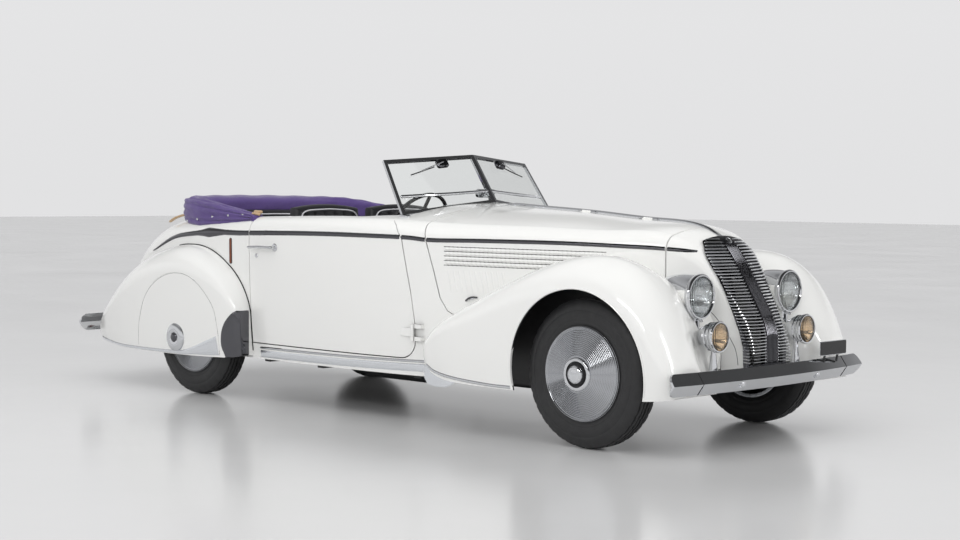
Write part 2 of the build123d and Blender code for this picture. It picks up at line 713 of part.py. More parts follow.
# Front axle: tube across the frame with a fixed pillar at each end
pillar = Pos(FA, KING_PIN_Y, (PILLAR_LOW + PILLAR_HIGH) / 2) * Cylinder(
    KING_PIN_R, PILLAR_HIGH - PILLAR_LOW
)
arm_low = across(FA, PILLAR_LOW - 12, 22, 0, KING_PIN_Y + 10)
arm_high = across(FA, PILLAR_HIGH + 12, 18, REAR_RAIL_Y, KING_PIN_Y + 10)
bracket = box(FA - 30, FA + 30, REAR_RAIL_Y, REAR_RAIL_Y + 40, PILLAR_LOW - 12, PILLAR_HIGH + 12)
front_axle = both_sides(pillar + arm_low + arm_high + bracket) - both_sides(rail)
save(front_axle, "front_axle")

# Knuckle: sleeve on the pillar, stub shaft outwards and a backplate
SLEEVE_R = 30.0
SLEEVE_HALF = 95.0
BACKPLATE_Y = 660.0
sleeve = Pos(FA, KING_PIN_Y, TYRE_R) * Cylinder(SLEEVE_R, 2 * SLEEVE_HALF)
stub = across(FA, TYRE_R, STUB_R, KING_PIN_Y + 10, 745)
backplate = across(FA, TYRE_R, 150, BACKPLATE_Y, BACKPLATE_Y + 6)
steer_arm = box(FA - 150, FA, KING_PIN_Y - 12, KING_PIN_Y + 12, TYRE_R - 70, TYRE_R - 45)
knuckle = sleeve + stub + backplate + steer_arm
knuckle = knuckle - Pos(FA, KING_PIN_Y, TYRE_R) * Cylinder(KING_PIN_R + RUN_GAP, 400)
save(knuckle, "knuckle_left")
save(mirror(knuckle, Plane.XZ), "knuckle_right")

# Rear axle: banjo casing with tubes and hub shafts, and the leaf springs
rear_axle = across(RA, TYRE_R, 42, -655, 655) + across(RA, TYRE_R, STUB_R, -745, 745)
rear_axle = rear_axle + Pos(RA, 0, TYRE_R) * Sphere(118)
rear_axle = rear_axle + both_sides(across(RA, TYRE_R, 150, BACKPLATE_Y, BACKPLATE_Y + 6))
rear_axle = rear_axle + both_sides(across(RA, TYRE_R, 42, 600, BACKPLATE_Y))
SPRING_Y = REAR_RAIL_Y + RAIL_W + 30
leaves = Part()
for i in range(4):
    half = 305 - 60 * i
    leaf_top = TYRE_R - 42 - 9 * i
    leaf_r = 1500.0
    with BuildPart() as leaf:
        with BuildSketch(Plane.XZ.offset(-SPRING_Y + 25)):
            with BuildLine():
                sag = leaf_r - math.sqrt(leaf_r**2 - half**2)
                ThreePointArc((RA - half, leaf_top + sag), (RA, leaf_top), (RA + half, leaf_top + sag))
                Line((RA + half, leaf_top + sag), (RA + half, leaf_top + sag - 8))
                ThreePointArc(
                    (RA + half, leaf_top + sag - 8), (RA, leaf_top - 8), (RA - half, leaf_top + sag - 8)
                )
                Line((RA - half, leaf_top + sag - 8), (RA - half, leaf_top + sag))
            make_face()
        extrude(amount=-50)
    leaves = leaves + leaf.part
leaves = leaves + box(RA - 50, RA + 50, SPRING_Y - 25, SPRING_Y + 25, TYRE_R - 80, TYRE_R - 42.3)
for x, z0, z1 in [(RA - 295, 340, KICK_TOP - 20), (RA + 275, 255, 372)]:
    leaves = leaves + box(x, x + 20, REAR_RAIL_Y + RAIL_W + 0.3, SPRING_Y + 25, z0, z1)
save(rear_axle + both_sides(leaves), "rear_axle")

# Wheels: rim and disc in one, drum behind, hub bored for its shaft
HUB_BORE = STUB_R + RUN_GAP
DISC_OUT = 75.0
WHEEL_PROFILE = [
    (HUB_BORE, -30),
    (60, -30),
    (60, 8),
    (150, 30),
    (172, 30),
    (172, -45),
    (190, -58),
    (204, -62),
    (210, -72),
    (228, -74),
    (230, -68),
    (214, -62),
    (214, -50),
    (196, -44),
    (196, 44),
    (214, 50),
    (214, 62),
    (230, 68),
    (233, 76),
    (222, 80),
    (200, 74),
    (140, 66),
    (118, 74),
    (100, 92),
    (70, 112),
    (0, 122),
    (0, 60),
    (HUB_BORE, 60),
]
wheel = turned(WHEEL_PROFILE)
TYRE_PROFILE = [
    (214.3, -61.5),
    (214.3, -44),
    (214.3, 44),
    (214.3, 61.5),
    (236, 70),
    (290, 80),
    (340, 74),
    (360, 56),
    (TYRE_R, 30),
    (TYRE_R, -30),
    (360, -56),
    (340, -74),
    (290, -80),
    (236, -70),
]
tyre = turned(TYRE_PROFILE)
for name, x, side in [
    ("front_left", FA, 1),
    ("front_right", FA, -1),
    ("rear_left", RA, 1),
    ("rear_right", RA, -1),
]:
    turn = Rot(0, 0, 0 if side > 0 else 180)
    save(Pos(x, side * TRACK / 2, TYRE_R) * turn * wheel, f"wheel_{name}")
    save(Pos(x, side * TRACK / 2, TYRE_R) * turn * tyre, f"tyre_{name}")



def lamp(profile, x, y, z, pitch):
    """A lamp body turned about its own axis from (x, radius) points, nose up by pitch."""
    with BuildPart() as bowl:
        with BuildSketch(Plane.XY):
            with BuildLine():
                Polyline(*profile, close=True)
            make_face()
        revolve(axis=Axis.X)
    return Pos(x, y, z) * Rot(0, pitch, 0) * bowl.part


HEADLAMP_POD = [
    # x from the lamp's face, height of the centre over the lens centre, radius
    (-255, 56, 5),
    (-230, 53, 22),
    (-175, 44, 52),
    (-105, 28, 80),
    (-45, 12, 96),
    (-8, 3, 102),
]
HEADLAMP_BOWL = [
    (14, 0),
    (14, 100),
    (4, 98),
    (-6, 90),
    (-60, 70),
    (-110, 40),
    (-120, 0),
]
LENS_R = 98.0
with BuildPart() as pod:
    for x, rise, radius in HEADLAMP_POD:
        with BuildSketch(Plane.YZ.offset(HEADLAMP_X + x)):
            with Locations((HEADLAMP_Y, HEADLAMP_Z + rise)):
                Circle(radius)
    loft()
with BuildPart() as foot:
    with BuildSketch(Plane.XY.offset(HEADLAMP_Z - 215)):
        with Locations((HEADLAMP_X - 80, HEADLAMP_Y)):
            Ellipse(76, 46)
    extrude(amount=150)
rim_ring = Pos(HEADLAMP_X, HEADLAMP_Y, HEADLAMP_Z) * rod(HEADLAMP_R, 17)
headlamp = pod.part + foot.part + rim_ring
headlamp = headlamp - lamp(HEADLAMP_BOWL, HEADLAMP_X, HEADLAMP_Y, HEADLAMP_Z, 0)
headlamp = largest(headlamp - front_wing_form - body_form)


def lens(radius, bulge, x, y, z):
    """A thin domed glass facing forwards."""
    dome_r = (radius**2 + bulge**2) / (2 * bulge)
    with BuildPart() as glass:
        with BuildSketch(Plane.XY):
            with BuildLine():
                Line((4, radius), (0, radius))
                Line((0, radius), (0, 0))
                Line((0, 0), (4 + bulge, 0))
                ThreePointArc(
                    (4 + bulge, 0),
                    (4 + bulge - dome_r + dome_r * math.cos(0.5 * math.asin(radius / dome_r)), dome_r * math.sin(0.5 * math.asin(radius / dome_r))),
                    (4, radius),
                )
            make_face()
        revolve(axis=Axis.X)
    return Pos(x, y, z) * glass.part


headlens = lens(97.5, 16, HEADLAMP_X + 4.5, HEADLAMP_Y, HEADLAMP_Z)
FOGLAMP_SHELL = [
    (-118, 0),
    (-112, 20),
    (-94, 44),
    (-60, 62),
    (-20, 69),
    (-6, 69),
    (-4, 74),
    (8, 74),
    (10, 68),
    (3, 66),
    (-5, 60),
    (-40, 38),
    (-50, 0),
]
foglamp = lamp(FOGLAMP_SHELL, FOGLAMP_X, FOGLAMP_Y, FOGLAMP_Z, 0)
foglens = lens(65.5, 11, FOGLAMP_X + 3.5, FOGLAMP_Y, FOGLAMP_Z)
foglamp = foglamp - front_wing_form - body_form
fog_post = Pos(FA + 474, FOGLAMP_Y - 20, 424) * Cone(26, 11, 150)
fog_foot = box(FA + 440, FA + 508, REAR_RAIL_Y + 5, FOGLAMP_Y + 6, 346, 352)
foglamp = foglamp + fog_post + fog_foot
foglamp = foglamp - lamp([(14, 0), (14, 67), (3, 66), (-5, 60), (-40, 38), (-50, 0)], FOGLAMP_X, FOGLAMP_Y, FOGLAMP_Z, 0)
foglamp = largest(foglamp - front_wing_form - front_irons)
foglamp = foglamp - foglens
save(both_sides(headlamp) + both_sides(foglamp), "lamps")
save(both_sides(headlens), "headlamp_lenses")
save(both_sides(foglens), "foglamp_lenses")

# Bumpers: a ridged blade swept in plan on an arc, with two irons to the chassis
BLADE = [
    (0, -54),
    (-8, -54),
    (22, -2),
    (-8, 54),
    (0, 54),
    (38, 0),
]
plan_r = (BUMPER_HALF_W**2 + BUMPER_SWEEP**2) / (2 * BUMPER_SWEEP)
half_turn = math.degrees(math.asin(BUMPER_HALF_W / plan_r))


def blade(x_face, z, facing):
    """One bumper blade whose middle reaches x_face."""
    with BuildPart() as bar:
        with BuildSketch(Plane.XZ):
            with BuildLine():
                Polyline(*[(plan_r - 38 + d, h) for d, h in BLADE], close=True)
            make_face()
        revolve(axis=Axis.Z, revolution_arc=2 * half_turn)
    turned_in = Rot(0, 0, -half_turn) * bar.part
    if facing < 0:
        turned_in = Rot(0, 0, 180) * turned_in
    return Pos(x_face - facing * plan_r, 0, z) * turned_in


def bumper_outline(z):
    """The blade's rounded outline seen from the front, pushed along the car."""
    with BuildPart() as outline:
        with BuildSketch(Plane.YZ.offset(-LENGTH)):
            with Locations((0, z)):
                RectangleRounded(2 * BUMPER_HALF_W - 4, BUMPER_H + 2, 46)
        extrude(amount=2 * LENGTH)
    return outline.part


front_bumper = blade(FA + FRONT_OVERHANG, FRONT_BUMPER_Z, 1) & bumper_outline(FRONT_BUMPER_Z)
front_bumper = front_bumper + both_sides(front_irons)
save(front_bumper, "front_bumper")
rear_bumper = blade(RA - REAR_OVERHANG, REAR_BUMPER_Z, -1) & bumper_outline(REAR_BUMPER_Z)
rear_bumper = rear_bumper + both_sides(rear_irons)
save(rear_bumper, "rear_bumper")

# Windscreen: two flat panes meeting in a vee
A = Vector(SCREEN_BASE_X, SCREEN_BASE_Y, SCREEN_LOW_Z + 9)
B = Vector(SCREEN_TOP_X, SCREEN_TOP_Y, 1411)
C = Vector(FA - 1500, 0, 1452)
normal = (B - A).cross(C - A).normalized()
D = Vector(SCREEN_BASE_X - (normal.Y * -SCREEN_BASE_Y + normal.Z * 72) / normal.X, 0, 1181)
pane_plane = Plane(origin=A, x_dir=(D - A).normalized(), z_dir=normal)
if normal.X < 0:
    normal = -normal
local = [pane_plane.to_local_coords(p) for p in (A, B, C, D)]
with BuildPart() as frame:
    with BuildSketch(pane_plane):
        with BuildLine():
            Polyline(*[(p.X, p.Y) for p in local], close=True)
        make_face()
        offset(amount=-20, kind=Kind.INTERSECTION, mode=Mode.SUBTRACT)
    extrude(amount=9, both=True)
with BuildPart() as glass:
    with BuildSketch(pane_plane):
        with BuildLine():
            Polyline(*[(p.X, p.Y) for p in local], close=True)
        make_face()
        offset(amount=-20, kind=Kind.INTERSECTION, mode=Mode.REPLACE)
    extrude(amount=3, both=True)
screen_frame = frame.part & box(FA - 2000, FA - 1200, 0, FAR, 900, 1500)
screen_frame = both_sides(screen_frame) - body_form
save(screen_frame, "windscreen_frame")
save(both_sides(glass.part - body_form), "windscreen_glass")

# Dashboard under the cowl, steering column and wheel
dash = cabin_space & box(COCKPIT_FRONT + 12, COCKPIT_FRONT + 42, -FAR, FAR, 870, 1300)
tilt = math.radians(COLUMN_TILT)
axis_dir = Vector(-math.cos(tilt), 0, math.sin(tilt))
hub = Vector(WHEEL_X, WHEEL_Y, WHEEL_Z)
column_len = (BULKHEAD_X - BULKHEAD_T - WHEEL_X - 12) / math.cos(tilt)
column_plane = Plane(origin=hub, x_dir=(0, 1, 0), z_dir=axis_dir)
with BuildPart() as column:
    with BuildSketch(column_plane.offset(-28)):
        Circle(COLUMN_R)
    extrude(amount=-(column_len - 28))
with BuildPart() as spindle:
    with BuildSketch(column_plane.offset(-28)):
        Circle(10)
    extrude(amount=28 + 10)
dash = dash - column.part
save(dash, "dashboard")
column_solid = column.part + spindle.part
save(column_solid, "steering_column")
with BuildPart() as rim:
    with BuildSketch(Plane.XZ):
        with Locations((WHEEL_R - 11, 0)):
            Circle(11)
    revolve(axis=Axis.Z)
spokes = Cylinder(34, 30) + Rot(0, 0, 90) * Box(2 * WHEEL_R - 22, 22, 8) + Pos((WHEEL_R - 11) / 2, 0, 0) * Box(
    WHEEL_R - 11, 22, 8
)
steer_wheel = rim.part + spokes - Cylinder(10 + RUN_GAP, 80)
steer_wheel = column_plane.location * steer_wheel
save(steer_wheel, "steering_wheel")


def cushion(x0, x1, y0, y1, z0, z1, round_over):
    """A padded block with rounded edges."""
    block = box(x0, x1, y0, y1, z0, z1)
    return fillet(block.edges(), round_over)


# Seats
FRONT_SEAT_X = RA + 760.0
seat_base = box(FRONT_SEAT_X - 100, FRONT_SEAT_X + 470, 60, 540, FLOOR_Z + FLOOR_T, 440)
save(both_sides(seat_base), "seat_frames")
front_cushion = cushion(FRONT_SEAT_X - 10, FRONT_SEAT_X + 500, 35, 565, 440.5, 610, 45)
back_profile = [
    (FRONT_SEAT_X - 10.5, 440.5),
    (FRONT_SEAT_X - 120, 440.5),
    (FRONT_SEAT_X - 150, 1150),
    (FRONT_SEAT_X - 50, 1150),
]
front_back = side_prism(back_profile, 35, 565)
front_back = fillet(front_back.edges(), 40)
save(both_sides(front_cushion) + both_sides(front_back), "front_seats")
rear_cushion = cushion(RA - 150, RA + 340, -565, 565, REAR_FLOOR_Z + FLOOR_T + 0.5, 690, 45)
rear_back_profile = [
    (RA - 50, 692),
    (RA - 190, 692),
    (RA - 260, 1060),
    (RA - 150, 1110),
]
rear_back = fillet(side_prism(rear_back_profile, -540, 540).edges(), 38)
save(rear_cushion + (rear_back & cabin_space), "rear_seat")

# Folded hood, a rounded roll round the back of the cockpit
hood_outer = [
    (RA + 500, -712),
    (RA + 500, 712),
    (RA - 120, 676),
    (RA - 360, 600),
    (RA - 545, 360),
    (RA - 580, 0),
    (RA - 545, -360),
    (RA - 360, -600),
    (RA - 120, -676),
]
hood_inner = [
    (RA + 520, -612),
    (RA + 520, 612),
    (RA + 100, 612),
    (RA - 180, 560),
    (RA - 205, 500),
    (RA - 205, -500),
    (RA - 180, -560),
    (RA + 100, -612),
]
hood = plan_prism(hood_outer, 950, 1212, 45)
hood = fillet(hood.faces().sort_by(Axis.Z)[-1].edges(), 42)
hood = hood - plan_prism(hood_inner, 900, 1300)
hood = hood - body_loft(-1)
save(hood, "folded_hood")

# Exhaust under the floor
with BuildPart() as pipe:
    with BuildSketch(Plane.YZ.offset(FA - 800)):
        with Locations((-230, 205.7)):
            Circle(22)
    extrude(amount=-1780)
    with BuildSketch(Plane.YZ.offset(FA - 1500)):
        with Locations((-230, 205.7)):
            Circle(58)
    extrude(amount=-600)
exhaust = pipe.part
save(exhaust, "exhaust")
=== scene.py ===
"""Dresses the open tourer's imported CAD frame: paint, plating, tyres, leather, cloth and stage."""
import json
import math

import bmesh
import bpy
from bpy.props import FloatProperty, FloatVectorProperty, PointerProperty
from mathutils import Matrix, Vector
from mathutils.bvhtree import BVHTree


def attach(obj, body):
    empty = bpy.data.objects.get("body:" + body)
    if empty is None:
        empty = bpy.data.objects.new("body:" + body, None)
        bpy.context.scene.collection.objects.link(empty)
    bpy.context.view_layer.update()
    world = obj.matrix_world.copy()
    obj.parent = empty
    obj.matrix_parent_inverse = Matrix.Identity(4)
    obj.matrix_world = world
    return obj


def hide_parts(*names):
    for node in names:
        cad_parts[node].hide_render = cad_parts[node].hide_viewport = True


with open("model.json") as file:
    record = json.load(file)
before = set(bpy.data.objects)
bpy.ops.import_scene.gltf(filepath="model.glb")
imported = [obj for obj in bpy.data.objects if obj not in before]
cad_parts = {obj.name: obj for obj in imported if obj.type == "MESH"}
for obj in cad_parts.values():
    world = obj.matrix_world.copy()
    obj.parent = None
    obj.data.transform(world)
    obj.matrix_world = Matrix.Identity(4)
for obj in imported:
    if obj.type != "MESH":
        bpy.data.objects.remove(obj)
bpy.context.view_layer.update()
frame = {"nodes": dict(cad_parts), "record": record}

bl_info = {
    "name": "Open tourer dressing",
    "version": (1, 0, 0),
    "blender": (4, 5, 0),
    "location": "3D View > Sidebar > Tourer",
    "description": "Finishes, trim, tyres, seats and folded hood for the open tourer",
    "category": "Object",
}

NODES = frame["nodes"]
MIDDLE = 0.30  # x half way between the axles
WHEELBASE = 3.10
FRONT_AXLE = MIDDLE + WHEELBASE / 2
REAR_AXLE = MIDDLE - WHEELBASE / 2
TYRE_RADIUS = 0.3675
HALF_TRACK = 0.70
SIDES = ((1, "left"), (-1, "right"))


# Materials

def new_finish(name):
    """An empty node material and its output and main shader."""
    material = bpy.data.materials.get(name) or bpy.data.materials.new(name)
    material.use_nodes = True
    tree = material.node_tree
    tree.nodes.clear()
    output = tree.nodes.new("ShaderNodeOutputMaterial")
    shader = tree.nodes.new("ShaderNodeBsdfPrincipled")
    tree.links.new(shader.outputs["BSDF"], output.inputs["Surface"])
    return material, tree, shader


def object_point(tree, scale=(1, 1, 1)):
    """Object coordinates, stretched by scale."""
    point = tree.nodes.new("ShaderNodeTexCoord")
    mapping = tree.nodes.new("ShaderNodeMapping")
    mapping.inputs["Scale"].default_value = scale
    tree.links.new(point.outputs["Object"], mapping.inputs["Vector"])
    return mapping.outputs["Vector"]


def noise(tree, point, scale, detail=3.0, roughness=0.5):
    """A noise node at a scale in waves to the metre."""
    node = tree.nodes.new("ShaderNodeTexNoise")
    node.inputs["Scale"].default_value = scale
    node.inputs["Detail"].default_value = detail
    node.inputs["Roughness"].default_value = roughness
    tree.links.new(point, node.inputs["Vector"])
    return node.outputs["Fac"]


def spread(tree, value, low, high):
    """Maps a 0 to 1 value onto a range."""
    node = tree.nodes.new("ShaderNodeMapRange")
    node.inputs["To Min"].default_value = low
    node.inputs["To Max"].default_value = high
    tree.links.new(value, node.inputs["Value"])
    return node.outputs["Result"]


def two_tone(tree, value, first, second):
    """A colour that runs from first to second."""
    ramp = tree.nodes.new("ShaderNodeValToRGB")
    ramp.color_ramp.elements[0].color = (*first, 1)
    ramp.color_ramp.elements[1].color = (*second, 1)
    tree.links.new(value, ramp.inputs["Fac"])
    return ramp.outputs["Color"]


def coloured(tree, shader, value, first, second):
    """Colours the surface from first to second."""
    tree.links.new(two_tone(tree, value, first, second), shader.inputs["Base Color"])


def roughened(tree, shader, value, low, high):
    """Makes the surface smoother or rougher between low and high."""
    tree.links.new(spread(tree, value, low, high), shader.inputs["Roughness"])


def worked(tree, operation, first, second):
    """A maths node on two values, of which the second may be a plain number."""
    node = tree.nodes.new("ShaderNodeMath")
    node.operation = operation
    tree.links.new(first, node.inputs[0])
    if isinstance(second, float):
        node.inputs[1].default_value = second
    else:
        tree.links.new(second, node.inputs[1])
    return node.outputs["Value"]


def raised(tree, shader, height, strength, distance):
    """Bumps the surface by a height value."""
    bump = tree.nodes.new("ShaderNodeBump")
    bump.inputs["Strength"].default_value = strength
    bump.inputs["Distance"].default_value = distance
    tree.links.new(height, bump.inputs["Height"])
    tree.links.new(bump.outputs["Normal"], shader.inputs["Normal"])


def shade(color, factor):
    """A colour made lighter or darker."""
    return tuple(min(1.0, c * factor) for c in color)


def white_paint(colour):
    """Polished coachwork enamel: faint clouding and orange peel under a clear coat."""
    material, tree, shader = new_finish("white_coachwork")
    point = object_point(tree)
    cloud = noise(tree, point, 2.2, 4)
    coloured(tree, shader, cloud, shade(colour, 0.985), colour)
    roughened(tree, shader, noise(tree, point, 14, 5), 0.16, 0.24)
    shader.inputs["Coat Weight"].default_value = 0.9
    shader.inputs["Coat Roughness"].default_value = 0.04
    raised(tree, shader, noise(tree, point, 420, 2), 0.025, 0.0006)
    return material


def plating(name, colour, low, high):
    """Bright plate with faint polishing marks."""
    material, tree, shader = new_finish(name)
    point = object_point(tree)
    haze = noise(tree, point, 9, 5)
    coloured(tree, shader, haze, shade(colour, 0.93), colour)
    shader.inputs["Metallic"].default_value = 1.0
    roughened(tree, shader, noise(tree, point, 60, 4), low, high)
    raised(tree, shader, noise(tree, point, 900, 2), 0.02, 0.0003)
    return material


LAMP_FOOT_TOP, LAMP_FOOT_FRONT = 0.778, 2.238  # the lamps are painted below this z and behind this x


def lamp_finish(colour):
    """Bright plate on the lamps and paint on the headlamps' feet."""
    material, tree, shader = new_finish("lamp_plate_and_paint")
    point = object_point(tree)
    parts = tree.nodes.new("ShaderNodeSeparateXYZ")
    tree.links.new(point, parts.inputs["Vector"])
    low = worked(tree, "LESS_THAN", parts.outputs["Z"], LAMP_FOOT_TOP)
    behind = worked(tree, "LESS_THAN", parts.outputs["X"], LAMP_FOOT_FRONT)
    painted = worked(tree, "MULTIPLY", low, behind)
    cloud = noise(tree, point, 9, 4)
    mixer = tree.nodes.new("ShaderNodeMix")
    mixer.data_type = "RGBA"
    tree.links.new(painted, mixer.inputs["Factor"])
    tree.links.new(two_tone(tree, cloud, (0.67, 0.68, 0.70), (0.72, 0.73, 0.75)), mixer.inputs["A"])
    tree.links.new(two_tone(tree, cloud, shade(colour, 0.985), colour), mixer.inputs["B"])
    tree.links.new(mixer.outputs["Result"], shader.inputs["Base Color"])
    tree.links.new(spread(tree, painted, 1.0, 0.0), shader.inputs["Metallic"])
    roughened(tree, shader, painted, 0.08, 0.2)
    return material


def tyre_rubber():
    """Black rubber with a dusty bloom."""
    material, tree, shader = new_finish("tyre_black_rubber")
    point = object_point(tree)
    bloom = noise(tree, point, 26, 6)
    coloured(tree, shader, bloom, (0.012, 0.012, 0.013), (0.028, 0.028, 0.029))
    roughened(tree, shader, noise(tree, point, 90, 4), 0.42, 0.62)
    raised(tree, shader, noise(tree, point, 1300, 3), 0.12, 0.0005)
    return material


def leather(name, colour):
    """Hide with a fine cell grain and worn sheen."""
    material, tree, shader = new_finish(name)
    point = object_point(tree)
    cells = tree.nodes.new("ShaderNodeTexVoronoi")
    cells.inputs["Scale"].default_value = 520
    tree.links.new(point, cells.inputs["Vector"])
    worn = noise(tree, point, 7, 5)
    coloured(tree, shader, worn, colour, shade(colour, 1.7))
    roughened(tree, shader, worn, 0.34, 0.5)
    raised(tree, shader, cells.outputs["Distance"], 0.25, 0.0006)
    return material


def woven_cloth(name, colour, threads, sheen):
    """Close woven cloth: crossed threads, faded along its length."""
    material, tree, shader = new_finish(name)
    point = object_point(tree)
    weave = []
    for axis in ("X", "Y"):
        wave = tree.nodes.new("ShaderNodeTexWave")
        wave.bands_direction = axis
        wave.inputs["Scale"].default_value = threads
        wave.inputs["Distortion"].default_value = 0.6
        tree.links.new(point, wave.inputs["Vector"])
        weave.append(wave.outputs["Fac"])
    cross = worked(tree, "MULTIPLY", *weave)
    fade = noise(tree, point, 5, 5)
    coloured(tree, shader, fade, shade(colour, 0.8), shade(colour, 1.15))
    shader.inputs["Roughness"].default_value = 0.85
    shader.inputs["Sheen Weight"].default_value = sheen
    shader.inputs["Sheen Roughness"].default_value = 0.4
    raised(tree, shader, cross, 0.35, 0.0008)
    return material


def plain_metal(name, colour, roughness, metallic):
    """Painted or bare steel and iron with a mottled surface."""
    material, tree, shader = new_finish(name)
    point = object_point(tree)
    mottle = noise(tree, point, 30, 6)
    coloured(tree, shader, mottle, shade(colour, 0.7), shade(colour, 1.2))
    shader.inputs["Metallic"].default_value = metallic
    roughened(tree, shader, mottle, roughness - 0.08, roughness + 0.1)
    raised(tree, shader, noise(tree, point, 350, 4), 0.15, 0.0008)
    return material


def grained_wood(name, light, dark):
    """Varnished wood with its grain along the car."""
    material, tree, shader = new_finish(name)
    point = object_point(tree, (1.0, 9.0, 9.0))
    grain = noise(tree, point, 14, 8, 0.65)
    coloured(tree, shader, grain, dark, light)
    shader.inputs["Roughness"].default_value = 0.35
    shader.inputs["Coat Weight"].default_value = 0.5
    raised(tree, shader, grain, 0.1, 0.0005)
    return material


def clear_glass(name, tint, fluted=False):
    """Clear or tinted glass, fluted upright on a lamp."""
    material, tree, shader = new_finish(name)
    shader.inputs["Base Color"].default_value = (*tint, 1)
    shader.inputs["Transmission Weight"].default_value = 1.0
    shader.inputs["Roughness"].default_value = 0.02
    shader.inputs["IOR"].default_value = 1.48
    if fluted:
        flute = tree.nodes.new("ShaderNodeTexWave")
        flute.bands_direction = "Y"
        flute.inputs["Scale"].default_value = 26
        tree.links.new(object_point(tree), flute.inputs["Vector"])
        raised(tree, shader, flute.outputs["Fac"], 0.16, 0.002)
    return material


FINISHES = {}


def mix_finishes(looks):
    """Makes every finish once from the chosen colours."""
    FINISHES.update(
        {
            "white_paint": white_paint(looks.paint),
            "bright_plate": plating("bright_plate", (0.72, 0.73, 0.75), 0.05, 0.12),
            "wheel_plate": plating("wheel_bright_plate", (0.46, 0.47, 0.49), 0.07, 0.14),
            "alloy": plating("polished_alloy", (0.82, 0.84, 0.87), 0.16, 0.3),
            "lamp_finish": lamp_finish(looks.paint),
            # the dark plate: dark metal, and on the waist mouldings a painted dark reflection of the ceiling
            "dark_plate_and_painted_reflection": plating("dark_metal_and_painted_reflection", (0.13, 0.13, 0.14), 0.05, 0.12),
            "mirror_glass": plating("mirror_silver", (0.85, 0.86, 0.87), 0.01, 0.03),
            "amber_dark": plain_metal("dark_amber_lens", (0.16, 0.035, 0.012), 0.12, 0.0),
            "dial_face": plain_metal("black_dial", (0.010, 0.010, 0.012), 0.4, 0.0),
            "bulb_glass": clear_glass("bulb_glass", (0.95, 0.96, 0.94)),
            "red_glass": clear_glass("red_tail_glass", (0.75, 0.03, 0.02)),
            "tyre_rubber": tyre_rubber(),
            "black_leather": leather("black_hide", looks.hide),
            "piping": leather("pale_piping", (0.5, 0.5, 0.52)),
            "purple_cloth": woven_cloth("purple_hood_cloth", looks.hood, 300, 0.35),
            "floor_trim": woven_cloth("charcoal_carpet", (0.03, 0.03, 0.033), 180, 0.5),
            "clear_glass": clear_glass("clear_glass", (0.97, 0.99, 0.98)),
            "lamp_glass": clear_glass("fluted_lamp_glass", (0.97, 0.99, 0.98), True),
            "amber_glass": clear_glass("amber_lamp_glass", (1.0, 0.84, 0.64), True),
            "dark_iron": plain_metal("dark_iron", (0.045, 0.045, 0.047), 0.5, 0.6),
            "black_frame": plain_metal("black_chassis_paint", (0.02, 0.02, 0.021), 0.38, 0.0),
            # the black finish: black seams and joints, and painted shade in the louvre slots
            "black_joint_and_painted_shade": plain_metal("black_seam_and_painted_shade", (0.008, 0.008, 0.009), 0.6, 0.0),
            "dash_wood": grained_wood("dash_walnut", (0.22, 0.10, 0.04), (0.07, 0.03, 0.015)),
            "bow_wood": grained_wood("hood_bow_ash", (0.62, 0.44, 0.26), (0.42, 0.27, 0.14)),
            "black_rim": plain_metal("black_rim", (0.012, 0.012, 0.013), 0.2, 0.0),
        }
    )


def paint_node(node, finish):
    """Gives a carried-over CAD node its finish and smooth shading."""
    mesh = NODES[node].data
    mesh.materials.clear()
    mesh.materials.append(FINISHES[finish])
    for face in mesh.polygons:
        face.use_smooth = True
    mesh.set_sharp_from_angle(angle=math.radians(28))


ARCH_AXIS = (0.67, 0.38)  # a wheel arch's middle: distance from the middle plane, z
HULL_AXIS_HEIGHT = 0.62
TAIL_START, NOSE_START = -1.9, 2.1
BOOT_HINGE = (-1.92, 0.99)
FLOOR_EDGE = 0.78  # half the width inside the rear arches' walls
ARCH_REACH = 0.43
FACING_IN = 0.02


def hidden_side(node, centre, normal):
    """Whether a face of a panel looks into the car or a wheel arch."""
    side = 1 if centre.y > 0 else -1
    if "wing" in node or "spats" in node:
        axis = Vector((centre.x, side * ARCH_AXIS[0], ARCH_AXIS[1]))
        return normal.dot(axis - centre) > FACING_IN
    if abs(normal.x) > 0.97 and node != "scuttle":
        return False
    if centre.x < TAIL_START and normal.x < -0.1 or centre.x > NOSE_START and normal.x > 0.1:
        return False
    if abs(centre.x - BOOT_HINGE[0]) < 0.06 and centre.z > BOOT_HINGE[1]:
        return False
    axis = Vector((centre.x, 0.0, HULL_AXIS_HEIGHT))
    if normal.dot(axis - centre) > FACING_IN:
        return True
    if node == "rear_body" and abs(centre.y) < FLOOR_EDGE:
        reach = math.hypot(centre.x - REAR_AXLE, centre.z - TYRE_RADIUS)
        return reach < ARCH_REACH and side * normal.y > 0.5
    return False


PANELS = ["rear_body", "scuttle", "nose", "front_wing_left", "front_wing_right", "rear_wings", "rear_spats"]
PANELS += ["door_left", "door_right", "bonnet_left", "bonnet_right", "boot_lid"]
OWN_FINISH = {"headlamp_lenses": "lamp_glass", "lamps": "lamp_finish", "grille": "dark_plate_and_painted_reflection"}


def paint_panel(node):
    """White outside; black paint or hide on the faces that look inwards."""
    paint_node(node, "white_paint")
    mesh = NODES[node].data
    inside = "black_leather" if node.startswith("door") or node == "rear_body" else "black_frame"
    mesh.materials.append(FINISHES[inside])
    for face in mesh.polygons:
        if hidden_side(node, face.center, face.normal):
            face.material_index = 1


# Making pieces


